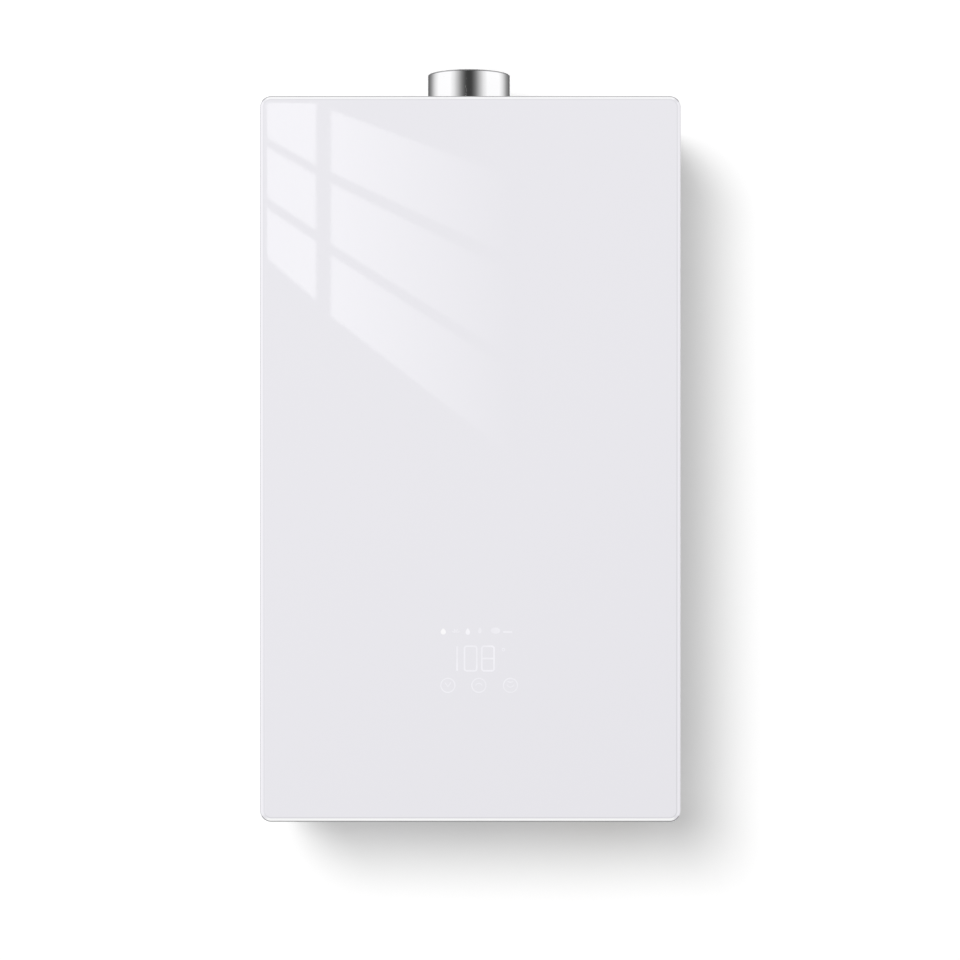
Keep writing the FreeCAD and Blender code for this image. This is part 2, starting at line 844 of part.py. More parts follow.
def volute(grow, y_from, y_to, top):
    """Spiral of four quarter arcs whose radius grows by one step each, with its outlet going up."""
    half = volute_step / 2
    radii = [volute_radius + grow + volute_step * step for step in (-1, 0, 1, 2)]
    signs = ((1, 1), (1, -1), (-1, -1), (-1, 1))
    centres = [Vec(fan_x + a * half, y_from, fan_z + b * half) for a, b in signs]
    left = centres[3].x - radii[3]
    tongue_x = left + outlet_width + 2 * grow
    tongue_z = centres[0].z + math.sqrt(radii[0] ** 2 - (tongue_x - centres[0].x) ** 2)
    tongue_angle = math.degrees(math.atan2(tongue_z - centres[0].z, tongue_x - centres[0].x))
    spans = [(90, tongue_angle), (0, 90), (270, 360), (180, 270)]

    def on_arc(number, angle):
        turn = math.radians(angle)
        return centres[number] + Vec(math.cos(turn), 0, math.sin(turn)) * radii[number]

    edges = [Part.makeLine(on_arc(0, tongue_angle), Vec(tongue_x, y_from, top)),
             Part.makeLine(Vec(tongue_x, y_from, top), Vec(left, y_from, top)),
             Part.makeLine(Vec(left, y_from, top), on_arc(3, 180))]
    for number in (3, 2, 1, 0):
        low, high = spans[number]
        points = [on_arc(number, a) for a in (low, (low + high) / 2, high)]
        edges.append(Part.Arc(*points).toShape())
    wire = Part.Wire(Part.__sortEdges__(edges))
    return Part.Face(wire).extrude(Vec(0, y_to - y_from, 0))


def fan_axis(y):
    """Point on the fan's axis."""
    return Vec(fan_x, y, fan_z)


def front_opening():
    """Half width across the flats of the service opening that the wheel goes in through."""
    return wheel_radius + fan_sheet + 1.0


def fan_opening(half, y_from, y_to):
    """Cutter for a flat-sided opening on the fan's axis."""
    depth = abs(y_to - y_from)
    profile = [(0, 0), (half, 0), (half, depth), (0, depth)]
    return flat_sided(profile, drum_sides, fan_axis(max(y_from, y_to)), -BACK)


def make_fan_housing():
    """Scroll with an eye behind, a service opening in front and an open outlet above."""
    body = volute(fan_sheet, fan_rear, fan_front, adapter_low)
    return body.cut([volute(0, fan_rear - fan_sheet, fan_front + fan_sheet, adapter_low + 1),
                     fan_opening(fan_eye_radius, fan_rear + 1, fan_rear - 2 * fan_sheet),
                     fan_opening(front_opening(), fan_front - 1, fan_front + 2 * fan_sheet)])


def make_motor_plate():
    """Plate that closes the scroll and carries the motor."""
    radius = front_opening() + motor_plate_rim
    profile = [(0, 0), (radius, 0), (radius, motor_plate_sheet), (0, motor_plate_sheet)]
    plate = flat_sided(profile, drum_sides, fan_axis(fan_front), -BACK)
    return plate.cut(hexagon(fan_axis(fan_front + 1), -BACK, 2 * motor_hole_radius, 2 + motor_plate_sheet))


def motor_rear():
    """Depth of the face where the motor sits on its plate."""
    return fan_front - motor_plate_sheet


def make_fan_motor():
    """Motor can with a stepped front, bored for the shaft."""
    bore = shaft_radius + motor_bearing_gap
    edge = 4.0
    tip = motor_length + motor_boss_length
    profile = [(0, 0), (motor_radius, 0), (motor_radius, motor_length - edge),
               (motor_radius - edge, motor_length), (motor_boss_radius, motor_length),
               (motor_boss_radius, tip), (0, tip)]
    can = flat_sided(profile, drum_sides, fan_axis(motor_rear()), -BACK)
    return can.cut(rod(fan_axis(motor_rear() + 1), fan_axis(motor_rear() - motor_length + 4), bore))


def wheel_rear():
    """Depth of the wheel's inlet ring."""
    return fan_rear - fan_sheet - wheel_gap


def wheel_front():
    """Depth of the wheel's closed disc, nearest to the motor."""
    return fan_front + fan_sheet + wheel_gap


def make_fan_impeller():
    """Fan wheel: closed disc, hub, inlet ring and forward-curved vanes."""
    sheet = wheel_sheet
    disc = flat_sided([(0, 0), (wheel_radius, 0), (wheel_radius, sheet), (0, sheet)], drum_sides,
                      fan_axis(wheel_front()), BACK)
    inlet = flat_sided([(0, 0), (wheel_radius, 0), (wheel_radius, sheet), (0, sheet)], drum_sides,
                       fan_axis(wheel_rear() - sheet), BACK)
    inlet = inlet.cut(fan_opening(wheel_eye_radius, wheel_rear() + 1, wheel_rear() - 2 * sheet))
    hub_profile = [(0, 0), (hub_radius, 0), (hub_radius * 0.8, hub_length - 3),
                   (hub_radius * 0.5, hub_length), (0, hub_length)]
    hub = flat_sided(hub_profile, hub_sides, fan_axis(wheel_front()), BACK)
    y_low = wheel_front() + sheet / 2
    y_high = wheel_rear() - sheet / 2
    inside = wheel_eye_radius + vane_sheet
    outside = wheel_radius - vane_sheet / 2
    middle = (inside + outside) / 2
    leans = ((inside, 0), (middle, math.radians(vane_curve) * 0.25), (outside, -math.radians(vane_curve)))
    vanes = []
    for number in range(vane_count):
        start = 2 * math.pi * number / vane_count
        near = [(radius, start + lean) for radius, lean in leans]
        far = [(radius, start + lean + vane_sheet / middle) for radius, lean in reversed(leans)]
        points = [Vec(fan_x + radius * math.cos(t), y_low, fan_z + radius * math.sin(t))
                  for radius, t in near + far]
        vanes.append(Part.Face(Part.makePolygon(points + points[:1])).extrude(Vec(0, y_high - y_low, 0)))
    wheel = join([disc, inlet, hub] + vanes)
    return wheel.cut(rod(fan_axis(wheel_front() - 1), fan_axis(wheel_front() + shaft_depth()),
                         shaft_radius + shaft_fit))


def shaft_depth():
    """How far the shaft stands into the wheel's hub."""
    return hub_length * 0.7


def make_fan_shaft():
    """Motor shaft, from inside the motor to the wheel's hub."""
    inner_end = motor_rear() - motor_length + 4.5
    return rod(fan_axis(inner_end), fan_axis(wheel_front() + shaft_depth()), shaft_radius)


def row_window(grow):
    """Spans across and up of the opening in the exchanger's ends, grown by a margin."""
    half = water_tube_radius + grow
    return (water_rows[0] - half, water_rows[2] + half), (water_z - half, water_z + half)


def hood_form(grow, low):
    """Funnel over the exchanger: a side outline crossed with a front outline."""
    back = hood_back + grow
    face = hood_face - grow
    front = chamber_front - grow
    shoulder = exchanger_top + hood_shoulder + grow
    edge_top = exchanger_top + hood_front_edge + grow
    top = hood_top + grow
    side = [(back, low), (back, top), (face, top), (face, shoulder), (front, edge_top), (front, low)]
    side_face = Part.Face(Part.makePolygon([Vec(-2 * chamber_half, y, z) for y, z in side + side[:1]]))
    half = chamber_half + grow
    left_top = fan_z + (hood_left_top - fan_x + fan_eye_radius) / 2
    outline = [(-half, low), (-half, shoulder), (hood_left_top - grow, left_top), (hood_left_top - grow, top),
               (hood_right_top + grow, top), (half, shoulder), (half, low)]
    front_face = Part.Face(Part.makePolygon([Vec(x, back, z) for x, z in outline + outline[:1]]))
    return side_face.extrude(RIGHT * (4 * chamber_half)).common(front_face.extrude(BACK * (front - back)))


def make_exhaust_hood():
    """Sheet hood that gathers the burnt gas and leads it to the fan's eye."""
    shell = hood_form(0, exchanger_top).cut(hood_form(-hood_sheet, exchanger_top - 1))
    eye = rod(fan_axis(hood_face - 1), fan_axis(hood_face + 2 * hood_sheet), fan_eye_radius)
    return shell.cut(eye)


def chamber_walls(low, high):
    """Copper walls with cut corners, open above and below."""
    return folded_shell(copper_sheet, (low, high), 0)


def make_exchanger_shell():
    """Copper shell round the fins, open at both ends where the tube's end plates close it."""
    spans = row_window(1.0)
    opening = block((-2 * chamber_half, 2 * chamber_half), *spans)
    return chamber_walls(exchanger_low, exchanger_top).cut(opening)


def make_exchanger_fins():
    """Thin copper fins threaded on the water tube."""
    inset = copper_sheet + fin_edge_gap
    half_hole = water_tube_radius + tube_fit
    hole_profile = [(0, 0), (half_hole, 0), (half_hole, 2), (0, 2)]
    fins = []
    for number in range(fin_count):
        x = -fin_span / 2 + fin_span * number / (fin_count - 1)
        plate = block((x - fin_sheet / 2, x + fin_sheet / 2), (chamber_front + inset, chamber_back - inset),
                      (water_z - fin_height / 2, water_z + fin_height / 2))
        bores = [flat_sided(hole_profile, 8, Vec(x - 1, y, water_z), RIGHT) for y in water_rows]
        fins.append(plate.cut(bores))
    return fins


def make_exchanger_tube():
    """Three passes through the fins between two end plates with return caps."""
    end = chamber_half + return_reach
    half = chamber_half + header_sheet / 2
    pieces = [pipe_run(Vec(-half, y, water_z), Vec(half, y, water_z), water_tube_radius) for y in water_rows]
    margin = row_window(header_rim)
    for side in (-1, 1):
        face = side * chamber_half
        pieces.append(block((face, face + side * header_sheet), *margin))
        middle = water_rows[1]
        other = water_rows[1 + side]
        cap = block((face + side * header_sheet / 2, face + side * return_depth),
                    (min(middle, other) - water_tube_radius, max(middle, other) + water_tube_radius),
                    (water_z - water_tube_radius, water_z + water_tube_radius))
        outer_edges = [edge for edge in cap.Edges if abs(edge.CenterOfMass.x) > chamber_half + header_sheet]
        pieces.append(cap.makeChamfer(return_edge, outer_edges))
        stub = water_rows[1 - side]
        pieces.append(pipe_run(Vec(face, stub, water_z), Vec(side * end, stub, water_z), pipe_radius + 2))
    return join(pieces)


def make_chamber_shell():
    """Copper combustion chamber with openings for the sight window and the electrodes."""
    y_span = (chamber_front - 1, chamber_front + 2)
    half_x, half_z = sight_width / 2, sight_height / 2
    electrode_half = electrode_opening / 2
    xs = electrode_xs()
    cuts = [block((window_x - half_x, window_x + half_x), y_span, (window_z - half_z, window_z + half_z)),
            block((xs[0] - electrode_half, xs[1] + electrode_half), y_span,
                  (electrode_z - electrode_half, electrode_z + electrode_half))]
    return chamber_walls(chamber_low, exchanger_low).cut(cuts)


def electrode_xs():
    """Places of the igniter and the flame sensor."""
    return [electrode_x, electrode_x + electrode_pitch]


def make_sight_window():
    """Mica pane with its raised frame."""
    rim = sight_rim
    half_x, half_z = sight_width / 2, sight_height / 2
    face = chamber_front - window_glass
    frame = block((window_x - half_x - rim, window_x + half_x + rim), (face, chamber_front),
                  (window_z - half_z - rim, window_z + half_z + rim))
    front_edges = [edge for edge in frame.Edges if edge.CenterOfMass.y < face + 0.1]
    frame = frame.makeChamfer(1.0, front_edges)
    recess_cut = block((window_x - half_x, window_x + half_x), (face - 1, chamber_front - 1),
                       (window_z - half_z, window_z + half_z))
    return frame.cut(recess_cut)


def make_chamber_coil():
    """Copper pipe from the union, round three sides of the chamber and into the exchanger."""
    rear_row = water_rows[2]
    route = [Vec(coil_x, row_y, union_z), Vec(coil_x, row_y, coil_low), Vec(coil_x, coil_front, coil_low),
             Vec(-coil_x, coil_front, coil_low), Vec(-coil_x, rear_row, coil_low + coil_climb),
             Vec(-outer_pipe_x, rear_row, water_z), Vec(-chamber_half - return_reach, rear_row, water_z)]
    return swept(route, pipe_bend, pipe_outline(pipe_radius))


def make_cold_pipe():
    """Straight copper pipe from the flow sensor to the union below the coil."""
    return pipe_run(Vec(cold_x, row_y, flow_top), Vec(cold_x, row_y, union_z), pipe_radius)


def make_hot_pipe():
    """Copper pipe from the exchanger down to the hot outlet."""
    route = [Vec(chamber_half + return_reach, water_rows[0], water_z), Vec(hot_x, hot_y, water_z),
             Vec(hot_x, hot_y, plate_top + outlet_stand)]
    return swept(route, pipe_bend, pipe_outline(pipe_radius))


def make_union_nut():
    """Brass nut where the cold pipe meets the coil."""
    base = Vec(cold_x, row_y, union_z - union_length / 2)
    room = flat_sided([(0, 0), (pipe_radius + tube_fit, 0), (pipe_radius + tube_fit, union_length + 2),
                       (0, union_length + 2)], pipe_sides, base - UP, UP)
    return hexagon(base, UP, union_flat, union_length).cut(room)


def make_support_rails():
    """Two hat-section rails that hold the chamber off the back pan."""
    rails = []
    wall = -pan_sheet
    for z in (water_z, burner_low + burner_height / 2):
        low = z - rail_height / 2
        high = z + rail_height / 2
        crown = chamber_back + rail_sheet
        section = [(wall, low - rail_foot), (wall - rail_sheet, low - rail_foot), (wall - rail_sheet, low),
                   (chamber_back, low), (chamber_back, high), (wall - rail_sheet, high),
                   (wall - rail_sheet, high + rail_foot), (wall, high + rail_foot), (wall, high - rail_sheet),
                   (crown, high - rail_sheet), (crown, low + rail_sheet), (wall, low + rail_sheet)]
        points = [Vec(-rail_half, y, level) for y, level in section + section[:1]]
        rails.append(Part.Face(Part.makePolygon(points)).extrude(RIGHT * (2 * rail_half)))
    return rails


def blade_xs():
    """Places of the burner blades across the box."""
    return [(number - (blade_count - 1) / 2) * blade_pitch for number in range(blade_count)]


def make_burner_box():
    """Steel box under the chamber, with an air opening below and a slot for the blades' mouths."""
    air = block((-air_opening_width / 2, air_opening_width / 2),
                (chamber_middle - air_opening_depth / 2, chamber_middle + air_opening_depth / 2),
                (burner_low - 1, burner_low + 2 * burner_sheet))
    reach = blade_xs()[-1] + blade_mouth_radius + 4
    mouths = block((-reach, reach), (chamber_front - 1, chamber_front + 2 * burner_sheet),
                   (throat_z - mouth_slot_height / 2, throat_z + mouth_slot_height / 2))
    return folded_shell(burner_sheet, (burner_low, chamber_low), burner_sheet).cut([air, mouths])


def make_burner_blades():
    """Pressed burners: a flared mouth, a throat, a thin web and the port bar on top."""
    blades = []
    front = chamber_front + burner_sheet + blade_end_gap
    rear = chamber_back - burner_sheet - blade_end_gap
    bar_top = chamber_low - 2
    bar_low = bar_top - blade_bar_height
    for x in blade_xs():
        throat = flat_sided([(0, 0), (blade_mouth_radius, 0), (blade_throat_radius, blade_flare),
                             (blade_throat_radius, blade_throat_length), (0, blade_throat_length)], 8,
                            Vec(x, front, throat_z), BACK)
        outline = [(front + 26, throat_z), (front + 3, bar_low + 1), (rear, bar_low + 1),
                   (rear, throat_z + 12), (rear - 16, throat_z)]
        web = Part.Face(Part.makePolygon([Vec(x - blade_web / 2, y, z) for y, z in outline + outline[:1]]))
        half = blade_bar_width / 2
        right = [(x + half, bar_low), (x + half, bar_top - 3), (x + half - 2, bar_top)]
        left = [(x - half + 2, bar_top), (x - half, bar_top - 3), (x - half, bar_low)]
        bar = Part.Face(Part.makePolygon([Vec(a, front, b) for a, b in right + left + right[:1]]))
        blades.append(join([throat, web.extrude(RIGHT * blade_web), bar.extrude(BACK * (rear - front))]))
    return blades


def make_gas_manifold():
    """Gas rail across the burner mouths, with a bracket at each end."""
    half = blade_xs()[-1] + blade_pitch / 2
    front = manifold_rear - manifold_depth
    low = throat_z - manifold_height / 2
    high = throat_z + manifold_height / 2
    edge = manifold_edge
    outline = [(front + edge, low), (manifold_rear, low), (manifold_rear, high), (front + edge, high),
               (front, high - edge), (front, low + edge)]
    rail = Part.Face(Part.makePolygon([Vec(-half, y, z) for y, z in outline + outline[:1]]))
    rail = rail.extrude(RIGHT * (2 * half))
    brackets = [block((side * (half - 3), side * half), (manifold_rear - edge, chamber_front),
                      (low, high + 10))
                for side in (-1, 1)]
    return join([rail] + brackets)


def make_gas_nozzles():
    """Brass nozzles, one for each burner mouth."""
    profile = [(0, 0), (nozzle_flat / 2, 0), (nozzle_flat / 2, nozzle_base), (nozzle_flat / 3, nozzle_base),
               (nozzle_tip_radius, nozzle_length), (0, nozzle_length)]
    return [flat_sided(profile, 6, Vec(x, manifold_rear, throat_z), BACK) for x in blade_xs()]


def make_gas_riser():
    """Short pipe from the valve's arm up to the manifold."""
    low = Vec(0, manifold_y, arm_top)
    high = Vec(0, manifold_y, throat_z - manifold_height / 2)
    return pipe_run(low, high, riser_radius)


def make_gas_valve_body():
    """Cast valve with its inlet connection, outlet arm, two solenoid guides and a boss on its face."""
    middle = (valve_back + valve_front) / 2
    body = lying_slab((-valve_half_width, valve_half_width), (valve_front, valve_back), valve_edge,
                      (stand_top, valve_top))
    arm = block((-arm_width / 2, arm_width / 2), (manifold_y - arm_width / 2, middle),
                (arm_top - arm_height, arm_top))
    arm = arm.makeChamfer(arm_width / 4, [edge for edge in arm.Edges
                                          if abs(edge.CenterOfMass.z - arm_top + arm_height / 2) < 0.1
                                          and edge.CenterOfMass.y < middle - 1])
    z = coil_z()
    half = guide_radius
    reach = valve_half_width + coil_length
    guides = block((-reach, reach), (middle - half, middle + half), (z - half, z + half))
    boss_radius = trim_coil_radius + 3
    boss = flat_sided([(0, 0), (boss_radius, 0), (boss_radius, valve_boss), (0, valve_boss)],
                      hub_sides, Vec(0, valve_front, valve_top - trim_coil_drop), -BACK)
    inlet = nipple(0, row_y, fitting_low, stand_top)
    return join([body, arm, guides, boss, inlet]).cut(nipple_bore(0, row_y, fitting_low, stand_top - 4))


def coil_z():
    """Level of the two safety solenoids."""
    return valve_top - coil_drop


def make_gas_solenoids():
    """Safety coils on the two guides and the trim coil on the valve's face."""
    middle = (valve_back + valve_front) / 2
    z = coil_z()
    coils = []
    for side in (-1, 1):
        near = side * (valve_half_width + tube_fit)
        far = side * (valve_half_width + coil_length - 3)
        coil = block((near, far), (middle - coil_radius, middle + coil_radius),
                     (z - coil_radius, z + coil_radius))
        long_edges = [edge for edge in coil.Edges if abs(edge.CenterOfMass.x - (near + far) / 2) < 1]
        room = guide_radius + tube_fit
        passage = block((near - side, far + side), (middle - room, middle + room), (z - room, z + room))
        coils.append(coil.makeChamfer(3.0, long_edges).cut(passage))
    profile = [(0, 0), (trim_coil_radius, 0), (trim_coil_radius, trim_coil_length - 2),
               (trim_coil_radius - 2, trim_coil_length), (0, trim_coil_length)]
    trim_base = Vec(0, valve_front - valve_boss, valve_top - trim_coil_drop)
    coils.append(flat_sided(profile, hub_sides, trim_base, -BACK))
    return coils


def nipple(x, y, low, top):
    """Solid threaded connection: nipple and nut below the plate, six-sided flange and stem above it."""
    neck = low + thread_length
    body_low = neck + neck_length
    thread = rod(Vec(x, y, low), Vec(x, y, neck), thread_radius)
    body = hexagon(Vec(x, y, neck), UP, 2 * neck_radius, plate_top - neck)
    nut = hexagon(Vec(x, y, body_low), UP, hex_flat, plate_bottom - plate_hole_gap - body_low)
    flange = hexagon(Vec(x, y, plate_top), UP, 2 * fitting_collar_radius, fitting_collar)
    stem = hexagon(Vec(x, y, plate_top), UP, 2 * neck_radius, top - plate_top)
    return join([thread, body, nut, flange, stem])


def nipple_bore(x, y, low, top):
    """Waterway or gasway of a connection, in flat facets."""
    start = low - 1
    return flat_sided([(0, 0), (thread_bore, 0), (thread_bore, top - start), (0, top - start)], hub_sides,
                      Vec(x, y, start), UP)


def make_hot_outlet():
    """Brass hot-water connection under the hot pipe."""
    top = plate_top + outlet_stand
    bore = nipple_bore(hot_x, hot_y, outlet_low, top - 4)
    return nipple(hot_x, hot_y, outlet_low, top).cut(bore)


def make_cold_inlet():
    """Brass inlet body: connection, column and a side branch for the drain plug and filter."""
    column = hexagon(Vec(cold_x, row_y, plate_top + fitting_collar), UP, 2 * inlet_radius,
                     inlet_height - fitting_collar)
    branch_low = Vec(drain_x, row_y, plate_top)
    branch = hexagon(branch_low, UP, 2 * drain_branch_radius, drain_branch_height)
    bridge_low = plate_top + fitting_collar + 4
    bridge = block((cold_x, drain_x), (row_y - 7, row_y + 7), (bridge_low, bridge_low + 16))
    room = rod(branch_low - UP, branch_low + UP * (drain_branch_height - drain_roof), drain_bore)
    body = join([nipple(cold_x, row_y, fitting_low, inlet_top - 1), column, branch, bridge])
    return body.cut([room, nipple_bore(cold_x, row_y, fitting_low, inlet_top - 4)])


def make_drain_plug():
    """Hand-turned plug whose stem seals the branch."""
    low = plate_bottom - drain_knob_gap - drain_knob_height
    knob = flat_sided([(0, 0), (drain_knob_radius - 2, 0), (drain_knob_radius - 1, 2),
                       (drain_knob_radius - 1, drain_knob_height), (0, drain_knob_height)], 8,
                      Vec(drain_x, row_y, low), UP)
    stem = rod(Vec(drain_x, row_y, low + drain_knob_height - 1), Vec(drain_x, row_y, plate_top + drain_seat),
               drain_bore - drain_fit)
    return join([knob, stem])


def make_inlet_filter():
    """Strainer that comes out with the plug."""
    return hexagon(Vec(drain_x, row_y, plate_top + drain_seat), UP, 2 * filter_radius, filter_length)


def make_flow_sensor():
    """Plastic flow sensor, square in its middle, with six-sided ends."""
    shoulder = (flow_height - flow_middle) / 2
    low = Vec(cold_x, row_y, inlet_top)
    ends = hexagon(low, UP, flow_end_flat, flow_height)
    half = flow_radius
    z = inlet_top + shoulder
    middle = block((cold_x - half, cold_x + half), (row_y - half, row_y + half), (z, z + flow_middle))
    middle = middle.makeChamfer(4.0, [edge for edge in middle.Edges
                                      if abs(edge.CenterOfMass.z - z - flow_middle / 2) < 0.1])
    return join([ends, middle])


def make_flow_pickup():
    """Pick-up that counts the turbine's turns, seated on the flow sensor."""
    z = (inlet_top + flow_top) / 2
    face = row_y - flow_radius
    pad = block((cold_x - pickup_width / 2, cold_x + pickup_width / 2), (face, face - pickup_depth),
                (z - pickup_height / 2, z + pickup_height / 2))
    front_edges = [edge for edge in pad.Edges if edge.CenterOfMass.y < face - pickup_depth + 0.1]
    return pad.makeChamfer(1.5, front_edges)


def make_electrodes():
    """Igniter and flame sensor on one bracket: ceramic rods with a metal pin."""
    xs = electrode_xs()
    half = electrode_opening / 2 + electrode_rim
    bracket = block((xs[0] - half, xs[1] + half), (chamber_front - electrode_plate, chamber_front),
                    (electrode_z - half, electrode_z + half))
    pieces = [bracket]
    for x in xs:
        profile = [(0, 0), (electrode_radius, 0), (electrode_radius, electrode_length),
                   (pin_radius, electrode_length), (pin_radius, electrode_length + pin_reach),
                   (0, electrode_length + pin_reach)]
        pieces.append(flat_sided(profile, 8, Vec(x, chamber_front - electrode_outside, electrode_z), BACK))
    return join(pieces)


def make_spark_unit():
    """Spark transformer on the case's right wall."""
    rear = spark_front + spark_depth
    high = spark_low + spark_height
    body = block((pan_side - spark_width, pan_side), (spark_front, rear), (spark_low, high))
    body = body.makeChamfer(3.0, [edge for edge in body.Edges if edge.CenterOfMass.x < pan_side - 1])
    x = pan_side - spark_width / 2
    terminals = [hexagon(Vec(x, spark_front + step, high - 1), UP, 6.0, 9.0)
                 for step in (spark_depth * 0.3, spark_depth * 0.7)]
    return join([body] + terminals)


def box_spans(grow):
    """Spans of the control box, grown by a wall."""
    return ((box_left - grow, box_left + box_width + grow), (box_low - grow, box_low + box_height + grow))


def make_control_box():
    """Tray for the control board, with tabs to the case's left wall."""
    span_x, span_z = box_spans(0)
    rear = box_front + box_depth
    outer = block(span_x, (box_front, rear), span_z)
    outer = outer.makeChamfer(3.0, [edge for edge in outer.Edges
                                    if abs(edge.CenterOfMass.y - (box_front + rear) / 2) < 1])
    inner_x, inner_z = box_spans(-box_wall)
    hollow = block(inner_x, (box_front - 1, rear - box_wall), inner_z)
    tab_levels = (box_low + 4, box_low + box_height - box_tab - 4)
    tabs = [block((-pan_side, box_left + 1), (rear - box_wall, rear), (z, z + box_tab)) for z in tab_levels]
    feet = [block((-pan_side, box_wall - pan_side), (rear - box_tab, rear), (z, z + box_tab))
            for z in tab_levels]
    inset = box_wall + 8
    posts = [block((x - 3, x + 3), (rear - box_wall, rear - box_wall - box_board_stand), (z - 3, z + 3))
             for x in (span_x[0] + inset, span_x[1] - inset) for z in (span_z[0] + inset, span_z[1] - inset)]
    return join([outer.cut(hollow)] + tabs + feet + posts)


def make_control_board():
    """Main circuit board with its transformer, relays and connectors."""
    span_x, span_z = box_spans(-box_wall - 1)
    rear = box_front + box_depth - box_wall - box_board_stand
    front = rear - board_sheet
    parts = [block(span_x, (front, rear), span_z)]
    lumps = [(0.06, 0.62, 0.30, 0.32, 20), (0.44, 0.70, 0.18, 0.22, 14), (0.70, 0.70, 0.18, 0.22, 14),
             (0.10, 0.10, 0.36, 0.10, 10), (0.56, 0.10, 0.34, 0.10, 10), (0.30, 0.34, 0.26, 0.14, 5)]
    width = span_x[1] - span_x[0]
    height = span_z[1] - span_z[0]
    for left, low, wide, tall, depth in lumps:
        x = span_x[0] + left * width
        z = span_z[0] + low * height
        parts.append(block((x, x + wide * width), (front - depth, front), (z, z + tall * height)))
    return join(parts)


def make_control_lid():
    """Lid that drops over the front of the control box."""
    span_x, span_z = box_spans(0)
    lid = block(span_x, (box_front - box_lid, box_front), span_z)
    edges = [edge for edge in lid.Edges if edge.CenterOfMass.y < box_front - box_lid + 0.1]
    lid = lid.makeChamfer(box_lid * 0.6, edges)
    inner_x, inner_z = box_spans(-box_wall - 0.3)
    lip = block(inner_x, (box_front, box_front + 3), inner_z)
    room_x, room_z = box_spans(-box_wall - 1.8)
    return join([lid, lip.cut(block(room_x, (box_front, box_front + 3), room_z))])


def switch_face():
    """Rear face of the pressure switch's drum."""
    return -pan_sheet - switch_stand


def make_pressure_switch():
    """Air-pressure switch: a drum on a foot from the back pan."""
    profile = [(0, 0), (switch_radius, 0), (switch_radius, switch_depth - 4),
               (switch_radius - 6, switch_depth), (0, switch_depth)]
    drum = flat_sided(profile, drum_sides, Vec(switch_x, switch_face(), switch_z), -BACK)
    half = switch_foot / 2
    foot = block((switch_x - half, switch_x + half), (switch_face() - 1, -pan_sheet),
                 (switch_z - half, switch_z + half))
    return join([drum, foot])


def make_pressure_hose():
    """Hose from the pressure switch to the hood's side."""
    y = switch_face() - switch_depth / 3
    return pipe_run(Vec(switch_x + switch_radius, y, switch_z), Vec(hood_left_top, y, switch_z), hose_radius)


def make_temperature_sensors():
    """Two overheat switches on the exchanger's front wall."""
    profile = [(0, 0), (sensor_radius, 0), (sensor_radius, sensor_depth - 2),
               (sensor_radius - 2, sensor_depth), (0, sensor_depth)]
    return [flat_sided(profile, hub_sides, Vec(x, chamber_front, water_z), -BACK)
            for x in (-chamber_half / 2, chamber_half / 2)]


def make_cord_gland():
    """Plastic gland in the bottom plate for a supply cord."""
    low = plate_bottom - gland_height
    stem_length = gland_height + plate_sheet + gland_nut
    stem = hexagon(Vec(gland_x, gland_y, low), UP, 2 * gland_radius - 2, stem_length)
    nuts = [hexagon(Vec(gland_x, gland_y, plate_bottom - 6), UP, gland_flat, 6),
            hexagon(Vec(gland_x, gland_y, plate_top), UP, gland_flat, gland_nut - 1)]
    bore = rod(Vec(gland_x, gland_y, low - 1), Vec(gland_x, gland_y, plate_top + gland_nut + 1), gland_bore)
    return join([stem] + nuts).cut(bore)


def make_fan_loom():
    """Flat loom from the control box up the left wall and over to the fan's motor."""
    route = [Vec(loom_x, loom_y, box_low + box_height), Vec(loom_x, loom_y, loom_top),
             Vec(fan_x, loom_y, loom_top), Vec(fan_x, loom_y, fan_z + motor_radius)]
    return swept(route, loom_bend, flat_outline(loom_width, loom_thickness, BACK))


def make_display_loom():
    """Flat loom from the control box to the display's plug."""
    box_right = box_left + box_width
    plug_x = display_x + socket_x
    rear = board_rear() + socket_depth
    route = [Vec(box_right, display_loom_y, display_z), Vec(plug_x, display_loom_y, display_z),
             Vec(plug_x, rear + 4, display_z)]
    loom = swept(route, loom_bend, flat_outline(loom_width * 0.8, loom_thickness * 0.6, UP))
    spans = socket_span(-1 - plug_gap)
    plug = block(spans[0], (rear - socket_depth + 1 + plug_gap, rear + 6), spans[1])
    return join([loom, plug])


def make_valve_loom():
    """Short flat loom from the control box to the left solenoid."""
    end = -valve_half_width - coil_length + 3
    y = box_front + box_depth - 6
    front = (valve_back + valve_front) / 2 - coil_radius + 6
    route = [Vec(box_left + box_width, y, coil_z()), Vec((box_left + box_width + end) / 2 - 2, y, coil_z()),
             Vec((box_left + box_width + end) / 2 + 2, front, coil_z()), Vec(end, front, coil_z())]
    return swept(route, 2.0, flat_outline(loom_width, loom_thickness, UP))


